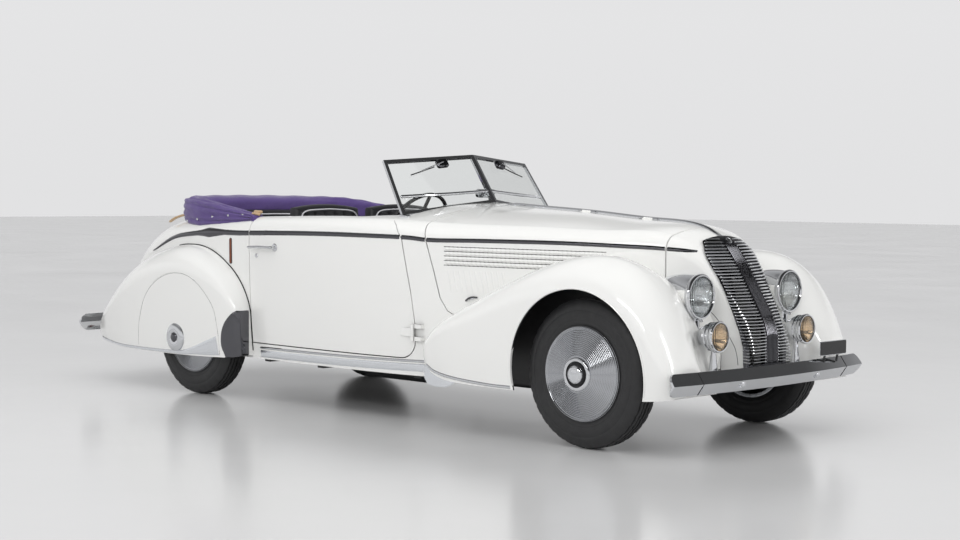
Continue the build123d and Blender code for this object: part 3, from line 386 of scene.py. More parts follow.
def make_piece(name, points, faces, finish, body, sharp=35.0):
    """Makes one mesh piece, shades it and lets it ride on a body."""
    mesh = bpy.data.meshes.new(name)
    mesh.from_pydata([tuple(point) for point in points], [], faces)
    work = bmesh.new()
    work.from_mesh(mesh)
    bmesh.ops.remove_doubles(work, verts=work.verts, dist=0.00001)
    bmesh.ops.recalc_face_normals(work, faces=work.faces)
    work.to_mesh(mesh)
    work.free()
    for face in mesh.polygons:
        face.use_smooth = True
    mesh.set_sharp_from_angle(angle=math.radians(sharp))
    mesh.materials.append(FINISHES[finish])
    piece = bpy.data.objects.new(name, mesh)
    bpy.context.collection.objects.link(piece)
    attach(piece, body)
    return piece


def skin(*nodes):
    """A tree of the solids' surfaces that rays are cast on."""
    points, faces = [], []
    for node in nodes:
        mesh = NODES[node].data
        start = len(points)
        points += [vertex.co.copy() for vertex in mesh.vertices]
        faces += [[start + i for i in face.vertices] for face in mesh.polygons]
    return BVHTree.FromPolygons(points, faces)


def from_side(tree, x, z, side, reach=1.0):
    """Where a level ray from one side meets the surface, and the normal there."""
    return tree.ray_cast(Vector((x, side * 1.3, z)), Vector((0, -side, 0)), reach)[:2]


def from_front(tree, y, z, start=3.0):
    """Where a level ray from the front meets the surface, and the normal there."""
    return tree.ray_cast(Vector((start, y, z)), Vector((-1, 0, 0)), 2.0)[:2]


def from_above(tree, x, y, start=1.6):
    """Where an upright ray from above meets the surface, and the normal there."""
    return tree.ray_cast(Vector((x, y, start)), Vector((0, 0, -1)), 1.0)[:2]


def smooth_line(points, runs=8):
    """Points on a smooth curve through the given points."""
    points = [Vector(point) for point in points]
    if len(points) == 2:
        return [points[0].lerp(points[1], i / runs) for i in range(runs + 1)]
    ends = [2 * points[0] - points[1], *points, 2 * points[-1] - points[-2]]
    line = []
    for a, b, c, d in zip(ends, ends[1:], ends[2:], ends[3:]):
        for i in range(runs):
            t = i / runs
            line.append(
                0.5 * (2 * b + (c - a) * t + (2 * a - 5 * b + 4 * c - d) * t * t + (3 * b - a - 3 * c + d) * t**3)
            )
    line.append(points[-1])
    return line


def loft_rings(rings, closed=True, caps=True):
    """Faces between rings of equal length."""
    count = len(rings[0])
    points = [point for ring in rings for point in ring]
    faces = []
    for i in range(len(rings) - 1):
        for j in range(count if closed else count - 1):
            k = (j + 1) % count
            faces.append((i * count + j, i * count + k, (i + 1) * count + k, (i + 1) * count + j))
    if caps and closed:
        faces.append(tuple(range(count))[::-1])
        faces.append(tuple(range((len(rings) - 1) * count, len(rings) * count)))
    return points, faces


def lathe(name, profile, centre, side, finish, body, turns=96, ripple=None):
    """A piece turned about the wheel axis from (radius, outward) points in metres."""
    rings = []
    for i in range(turns):
        angle = 2 * math.pi * i / turns
        cos, sin = math.cos(angle), math.sin(angle)
        ring = []
        for j, (radius, out) in enumerate(profile):
            if ripple:
                radius = radius + ripple(i, j)
            ring.append(Vector((centre[0] + radius * cos, centre[1] + side * out, centre[2] + radius * sin)))
        rings.append(ring)
    rings.append(rings[0])
    points, faces = loft_rings(rings, closed=False, caps=False)
    return make_piece(name, points, faces, finish, body)


def turned_forward(name, profile, centre, finish, body, turns=48):
    """A piece turned about the X axis from (forward, radius) points in metres."""
    rings = []
    for i in range(turns + 1):
        angle = 2 * math.pi * i / turns
        rings.append(
            [
                Vector((centre[0] + x, centre[1] + r * math.cos(angle), centre[2] + r * math.sin(angle)))
                for x, r in profile
            ]
        )
    points, faces = loft_rings(rings, closed=False, caps=False)
    return make_piece(name, points, faces, finish, body)


def tube(name, line, radius, finish, body, sides=10, flat=1.0, up=(0, 0, 1)):
    """A round or flattened rod along a line, with rounded ends."""
    line = [Vector(point) for point in line]
    first = (line[1] - line[0]).normalized()
    last = (line[-1] - line[-2]).normalized()
    sizes = [0.25, 0.75, 1.0] + [1.0] * (len(line) - 2) + [1.0, 0.75, 0.25]
    line = [line[0] - first * radius * 0.9, line[0] - first * radius * 0.55, *line]
    line = [*line, line[-1] + last * radius * 0.55, line[-1] + last * radius * 0.9]
    rings = []
    for i, point in enumerate(line):
        ahead = (line[min(i + 1, len(line) - 1)] - line[max(i - 1, 0)]).normalized()
        across = ahead.cross(Vector(up))
        if across.length < 0.05:
            across = ahead.cross(Vector((0, 1, 0)))
        across.normalize()
        rise = across.cross(ahead)
        ring = []
        for j in range(sides):
            angle = 2 * math.pi * j / sides
            reach = radius * sizes[i]
            ring.append(point + across * math.cos(angle) * reach + rise * math.sin(angle) * reach * flat)
        rings.append(ring)
    points, faces = loft_rings(rings)
    return make_piece(name, points, faces, finish, body)


def join_rods(name, rods, finish, body):
    """Makes one piece of many rods that tube has made."""
    points, faces = [], []
    for rod in rods:
        start = len(points)
        points += [vertex.co.copy() for vertex in rod.data.vertices]
        faces += [[start + i for i in face.vertices] for face in rod.data.polygons]
        bpy.data.objects.remove(rod)
    return make_piece(name, points, faces, finish, body)


def slab(name, outline, place, finish, body, thick, edge=0.0015):
    """A flat plate with eased edges: outline in the plane of place's X and Y, pushed along its Z."""
    middle = Vector((sum(x for x, y in outline) / len(outline), sum(y for x, y in outline) / len(outline)))
    rings = []
    for depth, shrink in ((0, edge), (edge, 0), (thick - edge, 0), (thick, edge)):
        ring = []
        for x, y in outline:
            pull = (Vector((x, y)) - middle).normalized() * shrink
            ring.append(place @ Vector((x - pull.x, y - pull.y, depth)))
        rings.append(ring)
    points, faces = loft_rings(rings)
    return make_piece(name, points, faces, finish, body)


def place_at(origin, along, normal):
    """A frame whose X runs along and whose Z is the normal."""
    normal = Vector(normal).normalized()
    along = Vector(along)
    along = (along - normal * along.dot(normal)).normalized()
    rise = normal.cross(along)
    place = Matrix((along, rise, normal)).transposed().to_4x4()
    place.translation = Vector(origin)
    return place


def turned_on(name, profile, place, finish, body, turns):
    """A piece turned about place's Z from (radius, out) points in metres."""
    angles = [2 * math.pi * i / turns for i in range(turns)]
    rings = [[place @ Vector((r * math.cos(a), r * math.sin(a), out)) for a in angles] for r, out in profile]
    points, faces = loft_rings(rings, caps=False)
    return make_piece(name, points, faces, finish, body)


def rounded(half_x, half_y, corner, steps=5):
    """The outline of a rounded rectangle."""
    outline = []
    for quarter, (sx, sy) in enumerate(((1, 1), (-1, 1), (-1, -1), (1, -1))):
        for i in range(steps + 1):
            angle = math.pi / 2 * (quarter + i / steps)
            x = sx * (half_x - corner) + corner * math.cos(angle)
            y = sy * (half_y - corner) + corner * math.sin(angle)
            outline.append((x, y))
    return outline


EDGE_SINK, BACK_SINK = 0.0004, 0.0015  # how far a strip's edge and back lie below the surface


def laid_strip(name, tree, line, widths, height, finish, body, side, across=6, flat=False):
    """A half-round or flat strip laid along a line on the solids' surface."""
    rings, last = [], None
    for i, point in enumerate(line):
        hit, normal = from_side(tree, point[0], point[2], side, 1.3)
        if hit is None or side * normal.y < 0.05 or (last is not None and abs(hit.y - last) > 0.03):
            continue
        last = hit.y
        ahead = (Vector(line[min(i + 1, len(line) - 1)]) - Vector(line[max(i - 1, 0)])).normalized()
        over = normal.cross(ahead).normalized()
        width = widths[i] if isinstance(widths, list) else widths
        rise = height[i] if isinstance(height, list) else height
        ring = []
        for j in range(across + 1):
            share = j / across - 0.5
            spot = hit + over * share * width
            near, _, _, _ = tree.ray_cast(spot + normal * 0.04, -normal, 0.08)
            if near is None or (near - spot).length > 0.008:
                near = spot
            lift = 1.0 if flat and 0 < j < across else math.cos(math.pi * share)
            ring.append(near + normal * (rise * lift - EDGE_SINK))
        ring.append(hit + over * 0.5 * width - normal * BACK_SINK)
        ring.append(hit - over * 0.5 * width - normal * BACK_SINK)
        rings.append(ring)
    points, faces = loft_rings(rings)
    return make_piece(name, points, faces, finish, body)


def width_at(table, x):
    """A value read from (x, value) rows sorted by falling x."""
    for (xa, a), (xb, b) in zip(table, table[1:]):
        if xb <= x <= xa:
            return a + (b - a) * (xa - x) / (xa - xb)
    return table[0][1] if x > table[0][0] else table[-1][1]


# Tyres and wheels

TYRE_HALF = [
    # radius, outward: from the bead over the side wall to the middle of the tread
    (0.2150, 0.055), (0.2200, 0.0640), (0.2290, 0.0690), (0.2370, 0.0715), (0.2440, 0.0755), (0.2560, 0.0785),
    (0.2600, 0.0775), (0.2640, 0.0795), (0.2860, 0.0812), (0.3050, 0.0800), (0.3090, 0.0780), (0.3130, 0.0790),
    (0.3300, 0.0755), (0.3450, 0.0690), (0.3530, 0.0630), (0.3585, 0.0585), (0.3620, 0.0520), (0.3560, 0.0500),
    (0.3560, 0.0450), (0.3655, 0.0430), (0.3665, 0.0270), (0.3590, 0.0255), (0.3590, 0.0210), (0.3670, 0.0195),
    (0.3674, 0.0065), (0.3595, 0.0050),
]
SHOULDER, TREAD = range(13, 17), range(19, 25)  # places in the list above
TREAD_BLOCK = 5  # steps round the tyre


def make_tyre(name, x, side):
    """A ribbed tyre with a blocked tread."""
    profile = TYRE_HALF + [(r, -y) for r, y in TYRE_HALF[::-1]]

    def ripple(i, j):
        """The cut that a tread block's edge takes off the radius."""
        k = min(j, len(profile) - 1 - j)
        if k in SHOULDER:
            return -0.0035 if i % TREAD_BLOCK == 0 else 0.0
        if k in TREAD:
            return -0.003 if (i + (k > 21) * 2) % TREAD_BLOCK == 0 else 0.0
        return 0.0

    body = "wheel_body_" + name
    centre = (x, side * HALF_TRACK, TYRE_RADIUS)
    tyre = lathe("tyre_tread_" + name, profile, centre, side, "tyre_rubber", body, 180, ripple)
    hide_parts("tyre_" + name)


DISC_RINGS = 16
DISC_WAVE = [(0.0, 0.0), (0.0022, 0.0026), (0.0045, 0.0029), (0.0062, 0.0012)]  # inward, outward
DISC_EDGE = [
    # radius, outward
    (0.2315, 0.0765), (0.2310, 0.0800), (0.2290, 0.0830), (0.2260, 0.0838), (0.2235, 0.0822), (0.2215, 0.0790),
]
HUB_PARTS = [
    # name, finish, turns, (radius, outward) points
    ("hub_collar", "bright_plate", 80, [
        (0.0840, 0.1100), (0.0820, 0.1170), (0.0770, 0.1215), (0.0700, 0.1225), (0.0640, 0.1200),
        (0.0610, 0.1150), (0.0600, 0.1080),
    ]),
    ("hub_well", "black_joint_and_painted_shade", 64, [(0.0605, 0.1130), (0.0560, 0.1225), (0.0440, 0.1228)]),
    ("hub_cap", "bright_plate", 64, [
        (0.0460, 0.1200), (0.0450, 0.1290), (0.0420, 0.1335), (0.0350, 0.1365), (0.0330, 0.1360),
        (0.0200, 0.1385), (0.0080, 0.1395), (0.0, 0.1396),
    ]),
]


def make_wheel_face(name, x, side):
    """The pressed disc with its fine rings, and the domed hub cap."""
    profile = list(DISC_EDGE)
    for i in range(DISC_RINGS):
        r = 0.2195 - 0.0083 * i
        base = 0.0795 + 0.0020 * i
        profile += [(r - back, base + out) for back, out in DISC_WAVE]
    profile += [(0.0850, 0.1115), (0.0830, 0.1110)]
    body = "wheel_body_" + name
    centre = (x, side * HALF_TRACK, TYRE_RADIUS)
    lathe("wheel_disc_" + name, profile, centre, side, "wheel_plate", body, 120)
    for part, finish, turns, points in HUB_PARTS:
        lathe(f"{part}_{name}", points, centre, side, finish, body, turns)


# Body trim

BELT = [
    (2.135, 0.211, 0.958), (2.010, 0.300, 0.968), (1.881, 0.375, 0.975), (1.463, 0.501, 0.986),
    (1.004, 0.610, 0.987), (0.698, 0.677, 0.985), (0.507, 0.715, 0.997), (-0.018, 0.755, 1.002),
    (-0.500, 0.745, 0.997), (-0.855, 0.730, 0.989), (-1.077, 0.715, 0.988), (-1.400, 0.680, 0.972),
    (-1.652, 0.635, 0.940), (-1.938, 0.579, 0.850),
]
BELT_WIDTH = [
    (2.135, 0.006), (2.120, 0.016), (2.080, 0.021), (0.700, 0.024), (-0.700, 0.030), (-1.020, 0.034),
    (-1.120, 0.050), (-1.190, 0.062), (-1.250, 0.044), (-1.320, 0.032), (-1.700, 0.024), (-1.900, 0.012),
    (-1.938, 0.004),
]
BELT_PARTS = [
    # name, front x, rear x, body, solids under it
    ("nose", 2.140, 2.008, "body", ("nose",)),
    ("bonnet", 1.998, 0.678, "bonnet", ("bonnet",)),
    ("scuttle", 0.666, 0.516, "body", ("scuttle",)),
    ("door", 0.503, -0.756, "door", ("door",)),
    ("quarter", -0.768, -1.940, "body", ("rear_body",)),
]


def cut_line(line, front, rear):
    """The part of a line between two x values, with a point at each end."""
    kept = []
    for a, b in zip(line, line[1:]):
        if a.x > front > b.x:
            kept.append(a.lerp(b, (a.x - front) / (a.x - b.x)))
        if front >= b.x >= rear:
            kept.append(b)
        if a.x > rear > b.x:
            kept.append(a.lerp(b, (a.x - rear) / (a.x - b.x)))
    return kept


def belt_mouldings():
    """The moulding along the waist, split where the panels part; its dark plating is a painted dark reflection.
    """
    whole = smooth_line(BELT, 12)
    for side, end in SIDES:
        for name, front, rear, body, nodes in BELT_PARTS:
            owner = body if body == "body" else body + "_" + end
            nodes = tuple(n + "_" + end if n in ("bonnet", "door") else n for n in nodes)
            line = [Vector((p.x, side * p.y, p.z)) for p in cut_line(whole, front, rear)]
            widths = [width_at(BELT_WIDTH, p.x) for p in line]
            # the mouldings' dark plating is a painted dark reflection of the ceiling
            laid_strip(f"belt_{name}_{end}", skin(*nodes), line, widths, 0.007, "dark_plate_and_painted_reflection", owner, side)


SLOT_ROWS = 5
ROW_DROP = 0.0245
SLOT_LINE = [(1.958, 0.34, 0.943), (1.4, 0.5, 0.9475), (0.785, 0.65, 0.952)]  # the top row
RIBS, RIB_SPACING = 13, 0.0325
RIB_TOP = (0.812, 0.826)  # x, z of the rearmost rib
SILL_LINE = [(0.700, 0.331), (0.300, 0.325), (0.030, 0.321), (-0.300, 0.318), (-0.690, 0.316)]


def louvres():
    """Four rows of louvres on the bonnet sides with black strips between them as painted shade in the slots, and
    the pressed ribs below.
    """
    for side, end in SIDES:
        tree = skin("bonnet_" + end)
        wing = skin("front_wing_" + end)
        body = "bonnet_" + end
        for row in range(SLOT_ROWS):
            line = smooth_line([(x, side * y, z - ROW_DROP * row) for x, y, z in SLOT_LINE], 96)
            clear = [point for point in line if from_side(wing, point.x, point.z - 0.02, side, 1.3)[0] is None]
            if len(clear) < 8:
                continue
            # each slot is a flat black strip on the bonnet: painted shade in the opening between two louvres
            slot = [0.0062 if i % 4 else 0.0095 for i in range(len(clear))]
            laid_strip(f"louvre_slot_shade_{row}_{end}", tree, clear, slot, 0.0008, "black_joint_and_painted_shade", body, side, 2, True)
            if row < SLOT_ROWS - 1:
                middle = [Vector((p.x, p.y, p.z - 0.0122)) for p in clear[2:-2]]
                heights = [0.0075 if (i + 2) % 4 else 0.0022 for i in range(len(middle))]
                laid_strip(f"louvre_{row}_{end}", tree, middle, 0.0165, heights, "white_paint", body, side, 4)
        for rib in range(RIBS):
            x = RIB_TOP[0] + RIB_SPACING * rib
            line = [Vector((x + 0.004 * k, 0, RIB_TOP[1] - 0.0225 * k)) for k in range(6)]
            if from_side(wing, line[-1].x, line[-1].z, side, 1.3)[0] is None:
                laid_strip(f"pressed_rib_{rib}_{end}", tree, line, 0.013, 0.0028, "white_paint", body, side, 4)


def sill_strips():
    """Bright strips along the sills, between the wings."""
    for side, end in SIDES:
        tree = skin("rear_body", "scuttle", "rear_wings", "front_wing_" + end)
        line = smooth_line([(x, 0, z) for x, z in SILL_LINE], 10)
        laid_strip(f"sill_strip_{end}", tree, line, 0.016, 0.006, "bright_plate", "body", side)
        low = [Vector((point.x, 0, point.z - 0.036)) for point in line]
        laid_strip(f"sill_band_{end}", tree, low, 0.044, 0.0035, "alloy", "body", side, 6, True)


BEAD_REACH = 0.4165  # from the wheel's axis


def wing_beads():
    """A rolled bead round each front wheel opening."""
    for side, end in SIDES:
        tree = skin("front_wing_" + end)
        line = []
        for i in range(45):
            angle = math.radians(-10 + 200 * i / 44)
            x = FRONT_AXLE + BEAD_REACH * math.cos(angle)
            z = TYRE_RADIUS + BEAD_REACH * math.sin(angle)
            hit, _ = from_side(tree, x, z, side, 0.65)
            if hit is not None:
                line.append(hit)
        tube(f"wing_bead_{end}", line, 0.0042, "white_paint", "body", 8, up=(0, 1, 0))


REAR_BAND = [
    # x, middle height, width
    (-0.930, 0.318, 0.120),
    (-1.029, 0.298, 0.092),
    (-1.140, 0.277, 0.054),
    (-1.254, 0.2585, 0.028),
    (-1.394, 0.2540, 0.020),
    (-1.690, 0.2530, 0.018),
    (-1.979, 0.2570, 0.016),
    (-2.256, 0.2780, 0.018),
]
WING_ROOT = [
    # x, distance from the middle plane, z
    (-1.553, 0.655, 0.896), (-1.471, 0.669, 0.905), (-1.393, 0.682, 0.907), (-1.318, 0.692, 0.906),
    (-1.255, 0.700, 0.901), (-1.194, 0.707, 0.889), (-1.151, 0.711, 0.879), (-1.090, 0.716, 0.856),
    (-1.041, 0.719, 0.834), (-0.989, 0.722, 0.805), (-0.943, 0.723, 0.777), (-0.899, 0.724, 0.743),
    (-0.863, 0.725, 0.708), (-0.825, 0.726, 0.662), (-0.798, 0.725, 0.616), (-0.777, 0.722, 0.569),
    (-0.767, 0.719, 0.522), (-0.766, 0.715, 0.475), (-0.766, 0.712, 0.427), (-0.766, 0.708, 0.379),
    (-0.766, 0.704, 0.332), (-0.766, 0.700, 0.296),
]
SPAT_ARC = [
    (-1.726, 0.262), (-1.722, 0.340), (-1.705, 0.435), (-1.648, 0.568), (-1.560, 0.655), (-1.440, 0.715),
    (-1.310, 0.738), (-1.190, 0.722), (-1.075, 0.660), (-0.968, 0.553), (-0.932, 0.450), (-0.918, 0.350),
    (-0.915, 0.262),
]
GUARD = [
    # height, rear x
    (0.252, -0.868), (0.272, -0.878), (0.324, -0.902), (0.396, -0.897), (0.455, -0.870), (0.505, -0.824),
    (0.533, -0.784),
]


GUARD_FRONT = -0.7685
WING_INNER = 0.734  # where the stone guard ends on the wing's front face
BOSS_SPOT = (-1.328, 0.345)
SPAT_BOSS = [
    # radius, outward
    (0.087, -0.0030), (0.084, 0.0050), (0.074, 0.0115), (0.058, 0.0150), (0.046, 0.0160), (0.040, 0.0150),
    (0.030, 0.0130),
]
SPAT_BOSS_CORE = [(0.034, 0.0100), (0.026, 0.0150), (0.022, 0.0200), (0.014, 0.0224), (0.0, 0.0230)]
FRONT_WING_STRIP = [
    (1.432, 0.271), (1.300, 0.270), (1.100, 0.278), (0.950, 0.290), (0.850, 0.306), (0.790, 0.332),
]
SPLASH_PLATE = [
    (0.772, 0.330), (0.776, 0.262), (0.800, 0.232), (0.850, 0.222), (0.930, 0.224), (0.990, 0.246),
    (1.030, 0.276), (0.960, 0.300), (0.860, 0.318),
]


def guard_front(tree, rear, z, side):
    """The x at which the rear wing's side turns into its front face."""
    front = GUARD_FRONT
    while front > rear + 0.004:
        near, slope = from_side(tree, front, z, side)
        if near is not None and abs(near.y) > 0.70 and slope.y * side > 0.25:
            break
        front -= 0.002
    return front


def stone_guard(tree, side, end):
    """The dark guard on the rear wing's front corner, laid over its side and its front face."""
    rings = []
    for z, rear, _ in smooth_line([(z, x, 0) for z, x in GUARD], 4):
        ring = []
        front = guard_front(tree, rear, z, side)
        for k in range(9):
            x = rear + (front - rear) * k / 8
            near, _ = from_side(tree, x, z, side)
            if near is None:
                near = ring[-1] if ring else Vector((x, side * 0.80, z))
            ring.append(near + Vector((0, side, 0)) * (0.0035 + 0.0004 * k if 0 < k else -0.001))
        corner = ring[-1].copy()
        for share in (0.12, 0.4, 0.7, 1.0):
            y = corner.y * (1 - share) + side * WING_INNER * share
            near, _, _, _ = tree.ray_cast(Vector((-0.62, y, z)), Vector((-1, 0, 0)), 0.25)
            ring.append(near + Vector((0.0035, 0, 0)) if near is not None else ring[-1].copy())
        rings.append(ring)
    points, faces = loft_rings(rings, closed=False, caps=False)
    make_piece(f"stone_guard_{end}", points, faces, "dark_plate_and_painted_reflection", "body")


def wing_trim():
    """Each rear wing's band, spat seam, piping, boss and guard, and each front wing's strip and plate."""
    for side, end in SIDES:
        tree = skin("rear_wings", "rear_spats")
        band = smooth_line([(x, width, z) for x, z, width in REAR_BAND], 8)
        line = [Vector((p.x, 0, p.z)) for p in band]
        laid_strip(f"wing_band_{end}", tree, line, [p.y for p in band], 0.0035, "alloy", "body", side, 6, True)
        seam = smooth_line([(x, 0, z) for x, z in SPAT_ARC], 8)
        laid_strip(f"spat_seam_{end}", tree, seam, 0.0042, 0.0007, "black_joint_and_painted_shade", "body", side, 2, True)
        root = smooth_line([(x, side * y, z) for x, y, z in WING_ROOT], 4)
        tube(f"wing_piping_{end}", root, 0.0042, "black_rim", "body", 8, up=(0, 1, 0))
        spot, _ = from_side(tree, *BOSS_SPOT, side)
        lathe(f"spat_boss_{end}", SPAT_BOSS, spot, side, "bright_plate", "body", 64)
        lathe(f"spat_boss_core_{end}", SPAT_BOSS_CORE, spot, side, "dark_plate_and_painted_reflection", "body", 48)
        stone_guard(tree, side, end)
        line = smooth_line([(x, 0, z) for x, z in FRONT_WING_STRIP], 8)
        tree = skin("front_wing_" + end)
        laid_strip(f"front_wing_strip_{end}", tree, line, 0.018, 0.0045, "bright_plate", "body", side)
        place = place_at((0.0, side * 0.786, 0.0), (1, 0, 0), (0, -1, 0))
        slab(f"splash_plate_{end}", SPLASH_PLATE, place, "alloy", "body", 0.004)


HANDLE_SPOT, LOCK_SPOT, TRAFFICATOR_SPOT = (-0.515, 0.912), (-0.690, 0.860), (-0.952, 0.880)
HANDLE_REACH = 0.031  # from the door's skin to the grip
GRIP = [(-0.014, 0), (-0.105, 0.001), (-0.200, -0.002)]
HANDLE_ROSE = [(0.0245, -0.002), (0.023, 0.003), (0.018, 0.0055), (0.0, 0.006)]
DOOR_LOCK = [(0.014, -0.001), (0.0135, 0.002), (0.011, 0.0042), (0.003, 0.0045), (0.0, 0.0035)]


def door_fittings():
    """Pull handles, their plates and locks, and the trafficator slots."""
    for side, end in SIDES:
        tree = skin("door_" + end)
        door = "door_" + end
        spot, normal = from_side(tree, *HANDLE_SPOT, side)
        away = normal * HANDLE_REACH
        grip = [spot - normal * 0.003, spot + normal * 0.016]
        grip += [spot + away + Vector((back, 0, lift)) for back, lift in GRIP]
        tube(f"door_handle_{end}", smooth_line(grip, 7), 0.0115, "bright_plate", door, 14, 0.75)
        lathe(f"handle_rose_{end}", HANDLE_ROSE, spot, side, "bright_plate", door, 40)
        spot, _ = from_side(tree, *LOCK_SPOT, side)
        lathe(f"door_lock_{end}", DOOR_LOCK, spot, side, "bright_plate", door, 32)
        spot, normal = from_side(skin("rear_body"), *TRAFFICATOR_SPOT, side)
        place = place_at(spot - normal * 0.002, (0, 0, 1), normal)
        slab(f"trafficator_{end}", rounded(0.078, 0.0135, 0.012), place, "black_joint_and_painted_shade", "body", 0.0035)
        slab(f"trafficator_arm_{end}", rounded(0.074, 0.0105, 0.009), place, "amber_dark", "body", 0.006)


CATCH_SPOT = (0.952, 0.685)
CATCH_CURVE = [
    (-0.036, -0.006, 0.008), (-0.018, 0.001, 0.012), (0.0, 0.004, 0.013), (0.018, 0.002, 0.012),
    (0.034, -0.004, 0.008),
]


def bonnet_latches():
    """A curved catch on each bonnet side."""
    for side, end in SIDES:
        body = "bonnet_" + end
        hit, normal = from_side(skin(body), *CATCH_SPOT, side)
        place = place_at(hit - normal * 0.001, (1, 0, 0.22), normal)
        slab(f"bonnet_catch_plate_{end}", rounded(0.017, 0.008, 0.007), place, "bright_plate", body, 0.004)
        line = smooth_line([place @ Vector(spot) for spot in CATCH_CURVE], 5)
        tube(f"bonnet_catch_{end}", line, 0.0048, "dark_plate_and_painted_reflection", body, 10)


# Lamps, plate and bumpers

HEADLAMP = (2.255, 0.381, 0.745)
FOGLAMP = (2.368, 0.377, 0.557)
HEADLAMP_PARTS = [
    # name, finish, turns, (forward, radius) points
    ("headlamp_reflector", "bright_plate", 64, [
        (0.0005, 0.0965), (-0.008, 0.0890), (-0.060, 0.0690), (-0.108, 0.0390), (-0.1185, 0.006),
    ]),
    ("headlamp_rim", "bright_plate", 80, [
        (-0.012, 0.1060), (-0.006, 0.1100), (0.004, 0.1120), (0.012, 0.1105), (0.0165, 0.1060), (0.0160, 0.1000),
        (0.010, 0.0975),
    ]),
    ("headlamp_bulb", "bulb_glass", 32, [
        (-0.110, 0.0), (-0.110, 0.012), (-0.080, 0.012), (-0.078, 0.017), (-0.055, 0.024), (-0.038, 0.020),
        (-0.028, 0.010), (-0.026, 0.0),
    ]),
    ("headlamp_shade", "bright_plate", 32, [
        (-0.034, 0.0), (-0.034, 0.016), (-0.028, 0.021), (-0.022, 0.018), (-0.018, 0.0),
    ]),
]
FOGLAMP_PARTS = [
    ("foglamp_reflector", "bright_plate", 48, [
        (0.000, 0.0640), (-0.006, 0.0590), (-0.038, 0.0370), (-0.048, 0.004),
    ]),
    ("foglamp_rim", "bright_plate", 64, [
        (-0.010, 0.0735), (-0.004, 0.0765), (0.006, 0.0770), (0.0115, 0.0735), (0.0105, 0.0680),
    ]),
]


def lamp_details():
    """Reflectors, bulbs and rims of the lamps, and the fog lamps' ridges."""
    for side, end in SIDES:
        x, y, z = HEADLAMP
        for name, finish, turns, profile in HEADLAMP_PARTS:
            turned_forward(f"{name}_{end}", profile, (x, side * y, z), finish, "body", turns)
        screw = [(x + 0.004, side * y, z - 0.112), (x + 0.016, side * y, z - 0.116)]
        tube(f"headlamp_screw_{end}", screw, 0.006, "bright_plate", "body", 12)
        x, y, z = FOGLAMP
        for name, finish, turns, profile in FOGLAMP_PARTS:
            turned_forward(f"{name}_{end}", profile, (x, side * y, z), finish, "body", turns)
        for i in range(2):
            back = -0.018 - 0.022 * i
            reach = 0.0698 - 0.0014 * i
            foot, crest = reach - 0.001, reach + 0.0018
            ridge = [(back - 0.005, foot), (back - 0.002, crest), (back + 0.002, crest), (back + 0.005, foot)]
            turned_forward(f"foglamp_ridge_{i}_{end}", ridge, (x, side * y, z), "bright_plate", "body", 48)


BAR_ROWS = 38
BAR_FOOT, BAR_PITCH, BAR_RADIUS = 0.4218, 0.0152, 0.0040
MIDDLE_HALF = 0.052  # half the width of the grille's middle panel
SPOKE = 0.20  # from the axis that a row's rays start at to the grille's front
RIBS_ACROSS, RIB_PITCH, RIB_RADIUS = 8, 0.011, 0.0030
RIB_STEPS, RIB_TOP_STEPS = 45, 3


def bar_line(tree, side, front, z):
    """Points along one row of one side of the grille, from its middle panel outwards."""
    middle = Vector((front - SPOKE, 0, z))
    line = []
    for k in range(15):
        angle = math.atan2(MIDDLE_HALF + 0.002, SPOKE) + k * 0.045
        ray = Vector((math.cos(angle), side * math.sin(angle), 0))
        near, slope, _, _ = tree.ray_cast(middle + ray, -ray, 0.95)
        if near is None or slope.dot(ray) < 0.1 or (line and (near - line[-1]).length > 0.03):
            break
        line.append(near + slope * 0.0014)
    return line


def rib_line(tree, y):
    """Points up one rib of the middle panel and over the grille's top."""
    rays = [(Vector((3.0, y, 0.413 + k * 0.0127)), Vector((-1, 0, 0))) for k in range(RIB_STEPS)]
    rays += [(Vector((2.156 - k * 0.016, y, 1.5)), Vector((0, 0, -1))) for k in range(RIB_TOP_STEPS)]
    line = []
    for start, ray in rays:
        near, slope, _, _ = tree.ray_cast(start, ray, 2.0)
        if near is not None and slope.dot(ray) < -0.3:
            line.append(near + slope * 0.0012)
    return line


def grille_bars():
    """Round bright bars on every row of the grille's sides and dark ribs down its middle."""
    tree = skin("grille")
    for side, end in SIDES:
        bars = []
        for i in range(BAR_ROWS + 2):
            z = BAR_FOOT + BAR_PITCH * i
            front, _ = from_front(tree, side * MIDDLE_HALF, z)
            line = [] if front is None else bar_line(tree, side, front.x, z)
            if len(line) > 3:
                bars.append(tube("bar", line, BAR_RADIUS, "bright_plate", "body", 8))
        join_rods(f"grille_bars_{end}", bars, "bright_plate", "body")
    ribs = []
    for i in range(RIBS_ACROSS):
        line = rib_line(tree, (i - (RIBS_ACROSS - 1) / 2) * RIB_PITCH)
        ribs.append(tube("rib", line, RIB_RADIUS, "dark_plate_and_painted_reflection", "body", 8, up=(0, 1, 0)))
    join_rods("grille_ribs", ribs, "dark_plate_and_painted_reflection", "body")


NOSE_SEAM = [
    (2.165, 0.700), (2.195, 0.670), (2.224, 0.640), (2.262, 0.590), (2.288, 0.553), (2.308, 0.518),
    (2.323, 0.489), (2.331, 0.460), (2.336, 0.430), (2.338, 0.405),
]


MOULDING_REAR, MOULDING_FRONT, MOULDING_HALF, MOULDING_STEPS = 0.662, 2.092, 0.015, 72


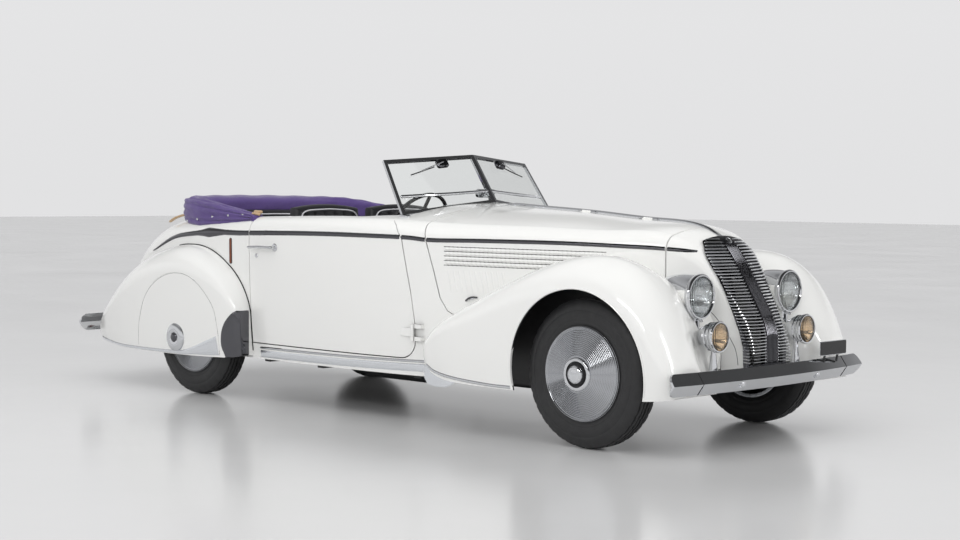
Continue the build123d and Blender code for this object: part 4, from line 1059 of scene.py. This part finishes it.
def nose_trim():
    """The seam beside the grille and the moulding down the middle of the bonnet."""
    for side, end in SIDES:
        line = smooth_line([(x, 0, z) for x, z in NOSE_SEAM], 6)
        laid_strip(f"nose_seam_{end}", skin("nose"), line, 0.0062, 0.0008, "black_joint_and_painted_shade", "body", side, 2, True)
    tree = skin("bonnet_strip")
    rings = []
    for i in range(MOULDING_STEPS + 1):
        x = MOULDING_REAR + (MOULDING_FRONT - MOULDING_REAR) * i / MOULDING_STEPS
        near, _ = from_above(tree, x, 0.004, 1.5)
        if near is None:
            continue
        swell = math.sin(min(1.0, i / 3, (MOULDING_STEPS - i) / 3) * math.pi / 2)
        ring = []
        for k in range(9):
            turn = math.pi * k / 8
            lift = (0.003 + 0.009 * swell) * math.sin(turn)
            ring.append(Vector((near.x, MOULDING_HALF * math.cos(turn), near.z - 0.003 + lift)))
        rings.append(ring)
    points, faces = loft_rings(rings)
    make_piece("bonnet_moulding", points, faces, "bright_plate", "body")


PLATE_SPOT = (0.472, 0.462)  # y, z
BADGE_HEIGHT = 1.006
BADGE = [
    # radius, out
    (0.0170, -0.008), (0.0185, 0.000), (0.0180, 0.004), (0.0150, 0.005), (0.0140, 0.0036), (0.006, 0.0058),
    (0.0001, 0.006),
]
BOLT_SPOT = (0.325, 0.337)
BOLT_DOME = [(-0.016, 0.0165), (0.001, 0.0165), (0.005, 0.0145), (0.0075, 0.0100), (0.0085, 0.0)]
BUMPER_JOINT_Y = 0.62


def front_plate_and_badge():
    """A bare number plate, a bare round badge, and the front bumper's bolts and joints."""
    for name, x, half_x, half_y, corner, finish in (
        ("number_plate_blank", 2.474, 0.120, 0.034, 0.006, "black_rim"),
        ("number_plate_back", 2.471, 0.123, 0.037, 0.007, "bright_plate"),
    ):
        place = place_at((x, *PLATE_SPOT), (0, 1, 0), (1, 0, 0))
        slab(name, rounded(half_x, half_y, corner), place, finish, "body", 0.003)
    for end, y in (("outer", 0.532), ("inner", 0.412)):
        line = [(2.456, y, 0.392), (2.462, y, 0.425), (2.468, y, 0.455)]
        tube(f"plate_bracket_{end}", line, 0.006, "black_frame", "body", 10)
    hit, _ = from_front(skin("grille", "bonnet_strip", "nose"), 0.0, BADGE_HEIGHT)
    place = place_at(hit + Vector((0.006, 0, 0.003)), (0, 1, 0), (0.8, 0, 0.6))
    turned_on("nose_badge_bare", BADGE, place, "bright_plate", "body", 32)
    tree = skin("front_bumper")
    for side, end in SIDES:
        y, z = side * BOLT_SPOT[0], BOLT_SPOT[1]
        hit, _ = from_front(tree, y, z)
        turned_forward(f"bumper_bolt_{end}", BOLT_DOME, (hit.x - 0.001, y, z), "bright_plate", "body", 32)
        spots = [from_front(tree, side * BUMPER_JOINT_Y, 0.303 + 0.104 * i / 8)[0] for i in range(9)]
        line = [spot for spot in spots if spot is not None]
        tube(f"bumper_joint_{end}", line, 0.0022, "black_joint_and_painted_shade", "body", 6)


TAIL_LAMP = (0.56, 0.47)  # y, z
TAIL_LAMP_SHELL = [(0.05, 0.030), (-0.014, 0.034), (-0.022, 0.034), (-0.026, 0.030)]
TAIL_LAMP_GLASS = [(-0.022, 0.0295), (-0.032, 0.024), (-0.038, 0.014), (-0.040, 0.0)]


def tail_lamps():
    """Small round lamps on the rear wings."""
    tree = skin("rear_wings")
    for side, end in SIDES:
        y, z = side * TAIL_LAMP[0], TAIL_LAMP[1]
        hit, _, _, _ = tree.ray_cast(Vector((-2.9, y, z)), Vector((1, 0, 0)), 2.0)
        turned_forward(f"tail_lamp_shell_{end}", TAIL_LAMP_SHELL, (hit.x, y, z), "bright_plate", "body", 40)
        turned_forward(f"tail_lamp_glass_{end}", TAIL_LAMP_GLASS, (hit.x, y, z), "red_glass", "body", 40)


# Windscreen fittings

WIPER_PIVOT, BLADE_MIDDLE = (0.235, 1.392), (0.385, 1.350)  # y, z
CLAMP_SPOT = (0.436, 0.610)
SCREEN_RAIL = [(0.489, 0.018, 1.248), (0.437, 0.270, 1.231), (0.369, 0.572, 1.214)]
MIRROR_HEIGHT = 1.235


def on_screen(tree, y, z):
    """A point on the windscreen's glass and its normal, which looks forwards."""
    hit, normal = from_front(tree, y, z, 1.5)
    if hit is None:
        return Vector((0.27, y, z)), Vector((1, 0, 0.5)).normalized()
    return hit, normal if normal.x > 0 else -normal


def windscreen_fittings():
    """Wiper motors, arms and blades, the lower clamps and rails, and the mirror."""
    tree = skin("windscreen_glass")
    for side, end in SIDES:
        top, normal = on_screen(tree, side * WIPER_PIVOT[0], WIPER_PIVOT[1])
        blade_middle, _ = on_screen(tree, side * BLADE_MIDDLE[0], BLADE_MIDDLE[1])
        place = place_at(top + normal * 0.003, (0, side, 0), normal)
        slab(f"wiper_motor_{end}", rounded(0.038, 0.026, 0.014), place, "dark_plate_and_painted_reflection", "body", 0.030, 0.008)
        pivot = top + normal * 0.036
        tip = blade_middle + normal * 0.014
        arm = [pivot, pivot.lerp(tip, 0.5) + normal * 0.003, tip]
        tube(f"wiper_arm_{end}", arm, 0.0028, "bright_plate", "body", 8)
        outward = (blade_middle - top).normalized()
        blade = [
            blade_middle + normal * 0.009 - outward * 0.10,
            blade_middle + normal * 0.008,
            blade_middle + normal * 0.009 + outward * 0.075,
        ]
        tube(f"wiper_blade_{end}", blade, 0.0035, "black_rim", "body", 8)
        foot, up = from_above(skin("scuttle"), CLAMP_SPOT[0], side * CLAMP_SPOT[1])
        place = place_at(foot - up * 0.002, (1, 0, 0), up)
        slab(f"screen_clamp_{end}", rounded(0.034, 0.017, 0.012), place, "bright_plate", "body", 0.016, 0.004)
        rail = [(x, side * y, z) for x, y, z in SCREEN_RAIL]
        tube(f"screen_rail_{end}", rail, 0.0095, "bright_plate", "body", 12)
    hit, _ = from_front(tree, 0.02, MIRROR_HEIGHT, 1.5)
    if hit is None:
        hit = Vector((0.40, 0.0, MIRROR_HEIGHT))
    centre = hit + Vector((-0.045, -0.02, 0.0))
    place = place_at(centre, (0, 1, 0), (-1, 0, 0.1))
    slab("mirror_shell", rounded(0.070, 0.024, 0.018), place, "bright_plate", "body", -0.012, 0.003)
    slab("mirror_glass", rounded(0.066, 0.020, 0.015), place, "mirror_glass", "body", 0.0015, 0.0005)
    stalk = [centre + Vector((0.008, 0, 0)), centre + Vector((0.034, 0.0, -0.02))]
    stalk.append(hit + Vector((-0.004, -0.02, -0.055)))
    tube("mirror_stalk", stalk, 0.004, "bright_plate", "body", 8)


# Seats

CHANNEL_DEPTH, WRINKLE_DEPTH = 0.011, 0.0013
PIPING_INSET = 0.62  # share of the pad's soft edge
SQUARENESS = 0.18  # of the piping's loop: 1 is round and 0 is square


class PadForm:
    """A crowned pad between a front and a back face, with sewn channels on the front."""

    def __init__(self, front, back, pleats, soft, roundness, crown):
        self.front = [Vector(corner) for corner in front]
        self.back = [Vector(corner) for corner in back]
        self.pleats, self.soft, self.roundness, self.crown = pleats, soft, roundness, crown

    def patch(self, corners, u, v):
        """A point of a four-cornered face."""
        low = corners[0].lerp(corners[1], u)
        high = corners[3].lerp(corners[2], u)
        return low.lerp(high, v)

    def point(self, a, b, facing):
        """The surface point at a, b from -1 to 1, on the front or back face."""
        u = 0.5 + 0.5 * a * math.sqrt(1 - self.roundness * b * b / 2)
        v = 0.5 + 0.5 * b * math.sqrt(1 - self.roundness * a * a / 2)
        front, back = self.patch(self.front, u, v), self.patch(self.back, u, v)
        wide = (self.front[1] - self.front[0]).length
        high = (self.front[3] - self.front[0]).length
        rim = min((1 - abs(a)) * wide / 2, (1 - abs(b)) * high / 2)
        near = min(1.0, rim / self.soft)
        full = (1 - (1 - near) ** 2.4) ** (1 / 2.4)
        middle, half = (front + back) / 2, (front - back) / 2
        spot = middle + half * full * facing
        outward = half.normalized() * facing
        belly = (1 - a * a) * (1 - b * b)
        if facing > 0:
            spot += outward * self.crown * belly
            field = min(1.0, max(0.0, (rim - self.soft * 0.8) / 0.02))
            start = math.pi / 2 if self.pleats % 2 else 0
            channel = 1 - abs(math.sin(math.pi * self.pleats * (u - 0.5) + start)) ** 0.55
            spot -= outward * CHANNEL_DEPTH * channel * field
        wrinkle = math.sin(a * 9.1 + b * 4.3) * math.sin(b * 7.7 - a * 3.1)
        return spot + outward * WRINKLE_DEPTH * wrinkle * near


def make_pad(name, form, node):
    """The pad's closed mesh and its piping, standing for a CAD node."""
    wide, high = 96, 56
    rings = []
    for j in range(high + 1):
        b = math.sin(math.pi / 2 * (2 * j / high - 1))
        row = [form.point(math.sin(math.pi / 2 * (2 * i / wide - 1)), b, 1) for i in range(wide + 1)]
        row += [form.point(math.sin(math.pi / 2 * (1 - 2 * i / wide)), b, -1) for i in range(1, wide)]
        rings.append(row)
    points, faces = loft_rings(rings, caps=False)
    pad = make_piece(name, points, faces, "black_leather", "body", 60)
    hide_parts(node)
    edge = 1 - 2 * form.soft * PIPING_INSET / (form.front[1] - form.front[0]).length
    rise = 1 - 2 * form.soft * PIPING_INSET / (form.front[3] - form.front[0]).length
    loop = []
    for i in range(97):
        angle = 2 * math.pi * i / 96
        a = math.copysign(abs(math.cos(angle)) ** SQUARENESS, math.cos(angle)) * edge
        b = math.copysign(abs(math.sin(angle)) ** SQUARENESS, math.sin(angle)) * rise
        loop.append(form.point(a, b, 1))
    tube(name + "_piping", loop, 0.0042, "piping", "body", 8)


def flat_faces(x, y, top, foot):
    """The top and under faces of a cushion between two x and two y values."""
    corners = ((x[0], y[0]), (x[0], y[1]), (x[1], y[1]), (x[1], y[0]))
    return [(*corner, top) for corner in corners], [(*corner, foot) for corner in corners]


def upright_face(y, foot, top):
    """A seat back's face between two y values, from its foot's x and z to its top's."""
    return [(foot[0], y[0], foot[1]), (foot[0], y[1], foot[1]), (top[0], y[1], top[1]), (top[0], y[0], top[1])]


def make_seats():
    """Front and rear seats in pleated hide."""
    for side, end in SIDES:
        left, right = sorted((side * 0.565, side * 0.035), reverse=True)
        cushion = PadForm(*flat_faces((-0.498, 0.008), (left, right), 0.604, 0.443), 7, 0.055, 0.10, 0.014)
        make_pad(f"front_cushion_{end}", cushion, "front_seats")
        face = upright_face((right, left), (-0.505, 0.470), (-0.545, 1.163))
        shell = upright_face((right, left), (-0.606, 0.470), (-0.634, 1.163))
        make_pad(f"front_back_{end}", PadForm(face, shell, 7, 0.046, 0.24, 0.010), "front_seats")
    cushion = PadForm(*flat_faces((-1.398, -0.912), (0.563, -0.563), 0.684, 0.523), 14, 0.055, 0.06, 0.014)
    make_pad("rear_cushion", cushion, "rear_seat")
    face = upright_face((-0.538, 0.538), (-1.300, 0.694), (-1.402, 1.128))
    shell = upright_face((-0.538, 0.538), (-1.438, 0.694), (-1.512, 1.110))
    make_pad("rear_back", PadForm(face, shell, 14, 0.060, 0.10, 0.010), "rear_seat")


# Folded hood

HOOD_STATIONS = [
    # inner x, y, outer x, y, top
    (-0.762, 0.622, -0.762, 0.704, 1.098),
    (-0.950, 0.617, -0.950, 0.708, 1.132),
    (-1.150, 0.612, -1.170, 0.700, 1.166),
    (-1.330, 0.590, -1.385, 0.676, 1.192),
    (-1.425, 0.545, -1.570, 0.612, 1.204),
    (-1.452, 0.420, -1.715, 0.470, 1.208),
    (-1.456, 0.220, -1.790, 0.260, 1.211),
    (-1.456, 0.000, -1.815, 0.000, 1.212),
]


FOLDS = 4.0  # layers that show on the outer side
HOOD_STUD = [(0.0095, -0.003), (0.0085, 0.0015), (0.005, 0.0044), (0.0, 0.0050)]
STUD_SPOTS = [(-0.870, 1.099), (-1.000, 1.092), (-1.167, 1.080), (-1.335, 1.064), (-1.490, 1.050)]
BOW_ENDS = [(-0.810, 0.652, 1.116), (-0.810, 0.668, 1.104)]
REAR_BOW = [(-1.50, 0.575, 1.092), (-1.60, 0.584, 1.084), (-1.68, 0.590, 1.066), (-1.735, 0.592, 1.042)]


def hood_ring(near, far, low_in, low, along):
    """One section of the bundle, with its layers, its rolled top and its wrinkles."""
    out = Vector((far.x - near.x, far.y - near.y, 0)).normalized()
    ring = []
    for k in range(72):
        angle = 2 * math.pi * k / 72
        c, z = math.cos(angle), math.sin(angle)
        across = 0.5 + 0.5 * math.copysign(abs(c) ** 0.62, c)
        rise = 0.5 + 0.5 * math.copysign(abs(z) ** 0.62, z)
        base = low_in + (low - low_in) * across
        spot = Vector((near.x, near.y, 0)).lerp(Vector((far.x, far.y, 0)), across)
        spot.z = base + (near.z - base) * rise
        if c > 0:
            crease = abs(math.sin(math.pi * (FOLDS * rise + 0.10 * math.sin(along)))) ** 0.6
            spot += out * (0.013 * crease - 0.012) * min(1.0, c * 2.2) * min(1.0, (1 - abs(2 * rise - 1)) * 5)
        if z > 0.35:
            roll = abs(math.sin(math.pi * (2.6 * across + 0.16 * math.sin(along * 0.7) + 0.1))) ** 0.7
            spot.z += (0.014 * roll - 0.014) * min(1.0, (z - 0.35) * 2.5)
        spot += out * 0.0022 * math.sin(along * 5.3 + 9 * rise) * math.sin(3.1 * along + 5 * across)
        spot.z += 0.0020 * math.sin(along * 4.1 + 7 * across) * max(0.0, z)
        ring.append(spot)
    return ring


def rounded_end(ring):
    """The smaller and smaller sections that close one end of the bundle, from its tip inwards."""
    middle = sum(ring, Vector()) / len(ring)
    return [
        [middle + (point - middle) * shrink + Vector((shift, 0, 0)) for point in ring]
        for shrink, shift in ((0.55, 0.008), (0.84, 0.006), (0.96, 0.002))
    ]


def hood_bundle():
    """The closed mesh of the folded cloth, lying on the body and the doors."""
    rows = HOOD_STATIONS + [(a, -b, c, -d, e) for a, b, c, d, e in HOOD_STATIONS[-2::-1]]
    inner = smooth_line([(a, b, e) for a, b, c, d, e in rows], 9)
    outer = smooth_line([(c, d, e) for a, b, c, d, e in rows], 9)
    tree = skin("rear_body", "door_left", "door_right")
    rings = []
    for i, (near, far) in enumerate(zip(inner, outer)):
        outside, _ = from_above(tree, far.x * 0.97 + near.x * 0.03, far.y * 0.97 + near.y * 0.03)
        low = outside.z - 0.004 if outside is not None and outside.z > 0.85 else 0.965
        inside, _ = from_above(tree, near.x * 0.9 + far.x * 0.1, near.y * 0.9 + far.y * 0.1)
        low_in = inside.z - 0.004 if inside is not None and inside.z > 0.85 else low + 0.03
        rings.append(hood_ring(near, far, low_in, low, 22.0 * (i / (len(inner) - 1))))
    return loft_rings([*rounded_end(rings[0]), *rings, *rounded_end(rings[-1])[::-1]])


def make_hood():
    """The folded hood round the back of the cockpit, with its bows and studs."""
    points, faces = hood_bundle()
    hood = make_piece("folded_hood_cloth", points, faces, "purple_cloth", "body", 70)
    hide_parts("folded_hood")
    cloth = BVHTree.FromPolygons([Vector(p) for p in points], faces)
    for side, end in SIDES:
        for i, (x, z) in enumerate(STUD_SPOTS):
            hit, _ = from_side(cloth, x, z, side)
            lathe(f"hood_stud_{i}_{end}", HOOD_STUD, hit, side, "bright_plate", "body", 20)
        for i, (x, y, z) in enumerate(BOW_ENDS):
            line = [(x, side * y, z), (x + 0.030, side * y, z - 0.001), (x + 0.058, side * y, z - 0.002)]
            tube(f"hood_bow_{i}_{end}", line, 0.0095, "bow_wood", "body", 14)
        line = smooth_line([(x, side * y, z) for x, y, z in REAR_BOW], 5)
        tube(f"hood_rear_bow_{end}", line, 0.013, "bow_wood", "body", 14, 0.6)


# Cockpit fittings

DIALS = [
    # y, z, radius
    (-0.30, 0.985, 0.052), (-0.42, 0.975, 0.040), (0.0, 0.985, 0.046), (0.13, 0.985, 0.046),
    (0.32, 0.985, 0.040),
]
BEZEL = [(0.002, 0.004), (-0.004, 0.005), (-0.009, 0.002), (-0.009, -0.002), (-0.004, -0.003)]
STEERING_HUB = (0.27, -0.36, 1.052)
COLUMN_TILT = math.radians(32)
STEERING_BOSS = [
    # radius, out
    (0.036, 0.0), (0.036, 0.006), (0.032, 0.011), (0.020, 0.0145), (0.019, 0.0130), (0.008, 0.0160),
    (0.0, 0.0162),
]


def dial_ticks(x, y, z, r):
    """The points and faces of eleven plain ticks round a dial."""
    points, faces = [], []
    for k in range(11):
        angle = math.radians(-135 + 27 * k)
        for reach, half in ((0.72, 0.010), (0.92, 0.013)):
            for turn in (angle - half, angle + half):
                points.append((x, y + r * reach * math.sin(turn), z + r * reach * math.cos(turn)))
        faces.append((4 * k, 4 * k + 1, 4 * k + 3, 4 * k + 2))
    return points, faces


def dash_dials():
    """Round dials with plain ticks on the dashboard, and the steering wheel's boss."""
    tree = skin("dashboard")
    for i, (y, z, r) in enumerate(DIALS):
        hit, _, _, _ = tree.ray_cast(Vector((-0.4, y, z)), Vector((1, 0, 0)), 2.0)
        centre = (hit.x, y, z)
        bezel = [(forward, r + more) for forward, more in BEZEL]
        turned_forward(f"dial_bezel_{i}", bezel, centre, "bright_plate", "body", 48)
        disc = [(-0.0035, 0.0), (-0.004, r * 0.5), (-0.004, r - 0.002), (0.001, r - 0.002)]
        turned_forward(f"dial_face_{i}", disc, centre, "dial_face", "body", 48)
        make_piece(f"dial_ticks_{i}", *dial_ticks(hit.x - 0.0046, y, z, r), "piping", "body")
        hand = math.radians(-95 + 31 * i)
        tip = (hit.x - 0.0055, y + r * 0.78 * math.sin(hand), z + r * 0.78 * math.cos(hand))
        tube(f"dial_hand_{i}", [(hit.x - 0.0055, y, z), tip], 0.0013, "piping", "body", 6)
    ahead = Vector((-math.cos(COLUMN_TILT), 0, math.sin(COLUMN_TILT)))
    place = place_at(Vector(STEERING_HUB) + ahead * 0.013, (0, 1, 0), ahead)
    turned_on("steering_boss", STEERING_BOSS, place, "bright_plate", "steering_wheel", 40)


# Stage

CAMERA_PLACE = (6.835140 + MIDDLE, -7.025176, 1.240622)
CAMERA_AHEAD = (-0.690135, 0.7222355, -0.0457117)
CAMERA_UP = (-0.0372703, 0.0276102, 0.9989237)
FLOOR_HALF = 60.0
SOFT_LAMPS = [
    # name, place, target, size, power, shown in gloss
    ("ceiling_soft_lamp", (1.5, -2.0, 6.0), (0.3, 0, 0.3), (9, 6), 190, False),
    ("side_soft_lamp", (3.0, -8.0, 4.6), (0.3, 0, 0.6), (7, 0.8), 130, True),
    ("nose_soft_lamp", (9.0, 1.0, 3.6), (1.5, 0, 0.6), (0.8, 3), 80, True),
]
# The room's brightness by height, which is 0 at eye level and 1 overhead: (height, level)
ROOM_LIGHT = [(0.0, 1.08), (0.3, 0.88), (1.0, 0.34)]
WALLS = [(0.0, 0.76), (0.10, 0.78), (0.26, 0.74)]
NEAR_CEILING = [(0.34, 0.26), (0.44, 0.08), (1.0, 0.04)]
FAR_CEILING = [(0.34, 0.34), (0.44, 0.24), (0.62, 0.52), (0.80, 0.40), (0.90, 0.07), (1.0, 0.04)]


def aim_camera(looks):
    """The camera where the photograph was taken from."""
    forward = Vector(CAMERA_AHEAD).normalized()
    up = Vector(CAMERA_UP)
    right = forward.cross(up).normalized()
    up = right.cross(forward)
    camera = bpy.data.cameras.new("photo_camera")
    camera.sensor_width = 36.0
    camera.lens = looks.lens
    holder = bpy.data.objects.new("photo_camera", camera)
    place = Matrix((right, up, -forward)).transposed().to_4x4()
    place.translation = Vector(CAMERA_PLACE)
    holder.matrix_world = place
    bpy.context.collection.objects.link(holder)
    bpy.context.scene.camera = holder


def area_lamp(name, place, target, size, power, glossy):
    """A soft lamp that looks at a point."""
    lamp = bpy.data.lights.new(name, "AREA")
    lamp.shape = "RECTANGLE"
    lamp.size, lamp.size_y = size
    lamp.energy = power
    holder = bpy.data.objects.new(name, lamp)
    holder.location = place
    holder.rotation_euler = (Vector(target) - Vector(place)).to_track_quat("-Z", "Y").to_euler()
    holder.visible_glossy = glossy
    bpy.context.collection.objects.link(holder)


def lay_floor():
    """A broad pale floor that runs out of sight."""
    mesh = bpy.data.meshes.new("studio_floor")
    corners = [(x * FLOOR_HALF, y * FLOOR_HALF, 0) for x, y in ((-1, -1), (1, -1), (1, 1), (-1, 1))]
    mesh.from_pydata(corners, [], [(0, 1, 2, 3)])
    floor = bpy.data.objects.new("studio_floor", mesh)
    bpy.context.collection.objects.link(floor)
    material, tree, shader = new_finish("pale_studio_floor")
    wear = noise(tree, object_point(tree), 0.6, 4)
    coloured(tree, shader, wear, (0.62, 0.62, 0.62), (0.68, 0.68, 0.68))
    roughened(tree, shader, wear, 0.12, 0.26)
    mesh.materials.append(material)


def light_world():
    """A pale room that lights the car, and what the camera and the gloss see of it."""
    world = bpy.data.worlds.get("World") or bpy.data.worlds.new("World")
    bpy.context.scene.world = world
    world.use_nodes = True
    tree = world.node_tree
    tree.nodes.clear()
    output = tree.nodes.new("ShaderNodeOutputWorld")
    point = tree.nodes.new("ShaderNodeTexCoord")
    split = tree.nodes.new("ShaderNodeSeparateXYZ")
    tree.links.new(point.outputs["Generated"], split.inputs["Vector"])

    def grey(level):
        """A faintly cool grey."""
        return level, level, level * 1.01, 1

    def room(stops, strength=1.0):
        """A background whose brightness follows the height."""
        ramp = tree.nodes.new("ShaderNodeValToRGB")
        tree.links.new(split.outputs["Z"], ramp.inputs["Fac"])
        bands = ramp.color_ramp.elements
        for band, (height, level) in ((bands[0], stops[0]), (bands[1], stops[-1])):
            band.position = height
            band.color = grey(level)
        for height, level in stops[1:-1]:
            bands.new(height).color = grey(level)
        back = tree.nodes.new("ShaderNodeBackground")
        tree.links.new(ramp.outputs["Color"], back.inputs["Color"])
        back.inputs["Strength"].default_value = strength
        return back.outputs["Background"]

    def chosen(factor, first, second):
        """The second background where the factor is 1."""
        mixer = tree.nodes.new("ShaderNodeMixShader")
        for socket, value in zip(mixer.inputs, (factor, first, second)):
            tree.links.new(value, socket)
        return mixer.outputs["Shader"]

    turn = tree.nodes.new("ShaderNodeMapRange")
    turn.inputs["From Min"].default_value = 0.1
    turn.inputs["From Max"].default_value = -0.3
    tree.links.new(split.outputs["X"], turn.inputs["Value"])
    seen = chosen(turn.outputs["Result"], room(WALLS + NEAR_CEILING), room(WALLS + FAR_CEILING))
    path = tree.nodes.new("ShaderNodeLightPath")
    either = path.outputs["Is Camera Ray"]
    for ray in ("Is Glossy Ray", "Is Transmission Ray"):
        either = worked(tree, "MAXIMUM", either, path.outputs[ray])
    tree.links.new(chosen(either, room(ROOM_LIGHT, 1.12), seen), output.inputs["Surface"])


# Add-on classes

class TourerLooks(bpy.types.PropertyGroup):
    """Colours and sizes that a user would change."""

    paint: FloatVectorProperty(
        name="Paint", description="Coachwork colour", subtype="COLOR", size=3, min=0, max=1,
        default=(0.85, 0.85, 0.83),
    )
    hood: FloatVectorProperty(
        name="Hood cloth", description="Folded hood colour", subtype="COLOR", size=3, min=0, max=1,
        default=(0.100, 0.060, 0.225),
    )
    hide: FloatVectorProperty(
        name="Hide", description="Seat leather colour", subtype="COLOR", size=3, min=0, max=1,
        default=(0.012, 0.012, 0.014),
    )
    lens: FloatProperty(
        name="Lens", description="Camera focal length in millimetres", default=63.563, min=10, max=300
    )


class TOURER_OT_stage(bpy.types.Operator):
    """Lays the floor, lights the room and aims the camera"""

    bl_idname = "tourer.stage"
    bl_label = "Stage"

    def execute(self, context):
        looks = context.scene.tourer_looks
        context.scene.view_settings.view_transform = "Standard"
        aim_camera(looks)
        lay_floor()
        light_world()
        for lamp in SOFT_LAMPS:
            area_lamp(*lamp)
        return {"FINISHED"}


class TOURER_OT_coachwork(bpy.types.Operator):
    """Finishes every carried-over solid"""

    bl_idname = "tourer.coachwork"
    bl_label = "Coachwork"

    def execute(self, context):
        mix_finishes(context.scene.tourer_looks)
        for row in frame["record"]["subparts"]:
            if row["node"] in PANELS:
                paint_panel(row["node"])
            else:
                paint_node(row["node"], OWN_FINISH.get(row["node"], row["material_slot"]))
        return {"FINISHED"}


class TOURER_OT_wheels(bpy.types.Operator):
    """Makes the tyres and the ringed wheel discs with their hub caps"""

    bl_idname = "tourer.wheels"
    bl_label = "Wheels"

    def execute(self, context):
        for end_x, x in (("front", FRONT_AXLE), ("rear", REAR_AXLE)):
            for side, end in SIDES:
                make_tyre(f"{end_x}_{end}", x, side)
                make_wheel_face(f"{end_x}_{end}", x, side)
        return {"FINISHED"}


class TOURER_OT_trim(bpy.types.Operator):
    """Lays the waist mouldings, louvres, sill strips, wing trim, door fittings and bonnet catches"""

    bl_idname = "tourer.trim"
    bl_label = "Body trim"

    def execute(self, context):
        belt_mouldings()
        louvres()
        sill_strips()
        wing_beads()
        wing_trim()
        door_fittings()
        bonnet_latches()
        return {"FINISHED"}


class TOURER_OT_lamps(bpy.types.Operator):
    """Fits the lamps' insides, the grille's bars, the tail lamps, the bare plate and the bare badge"""

    bl_idname = "tourer.lamps"
    bl_label = "Lamps, grille and plate"

    def execute(self, context):
        lamp_details()
        grille_bars()
        nose_trim()
        front_plate_and_badge()
        tail_lamps()
        return {"FINISHED"}


class TOURER_OT_windscreen(bpy.types.Operator):
    """Fits the wipers, the mirror and the windscreen's rails and clamps"""

    bl_idname = "tourer.windscreen"
    bl_label = "Windscreen fittings"

    def execute(self, context):
        windscreen_fittings()
        return {"FINISHED"}


class TOURER_OT_seats(bpy.types.Operator):
    """Makes the pleated seats with their piping"""

    bl_idname = "tourer.seats"
    bl_label = "Seats"

    def execute(self, context):
        make_seats()
        return {"FINISHED"}


class TOURER_OT_hood(bpy.types.Operator):
    """Makes the folded hood with its bows and studs"""

    bl_idname = "tourer.hood"
    bl_label = "Folded hood"

    def execute(self, context):
        make_hood()
        return {"FINISHED"}


class TOURER_OT_cockpit(bpy.types.Operator):
    """Makes the dials and the steering wheel's boss"""

    bl_idname = "tourer.cockpit"
    bl_label = "Cockpit"

    def execute(self, context):
        dash_dials()
        return {"FINISHED"}


class TOURER_PT_panel(bpy.types.Panel):
    """Lists the makers in the sidebar"""

    bl_idname = "TOURER_PT_panel"
    bl_label = "Tourer"
    bl_space_type = "VIEW_3D"
    bl_region_type = "UI"
    bl_category = "Tourer"

    def draw(self, context):
        looks = context.scene.tourer_looks
        for name in ("paint", "hood", "hide", "lens"):
            self.layout.prop(looks, name)
        for maker in MAKERS:
            self.layout.operator(maker.bl_idname)


MAKERS = [
    TOURER_OT_stage,
    TOURER_OT_coachwork,
    TOURER_OT_wheels,
    TOURER_OT_trim,
    TOURER_OT_lamps,
    TOURER_OT_windscreen,
    TOURER_OT_seats,
    TOURER_OT_hood,
    TOURER_OT_cockpit,
]
CLASSES = [TourerLooks, *MAKERS, TOURER_PT_panel]


def register():
    """Registers the classes and the scene's own settings."""
    for item in CLASSES:
        bpy.utils.register_class(item)
    bpy.types.Scene.tourer_looks = PointerProperty(type=TourerLooks)


def unregister():
    """Takes the settings and classes away again."""
    del bpy.types.Scene.tourer_looks
    for item in reversed(CLASSES):
        bpy.utils.unregister_class(item)


def main():
    """Makes every piece in order."""
    register()
    for maker in MAKERS:
        group, name = maker.bl_idname.split(".")
        getattr(getattr(bpy.ops, group), name)()


if __name__ == "__main__":
    main()
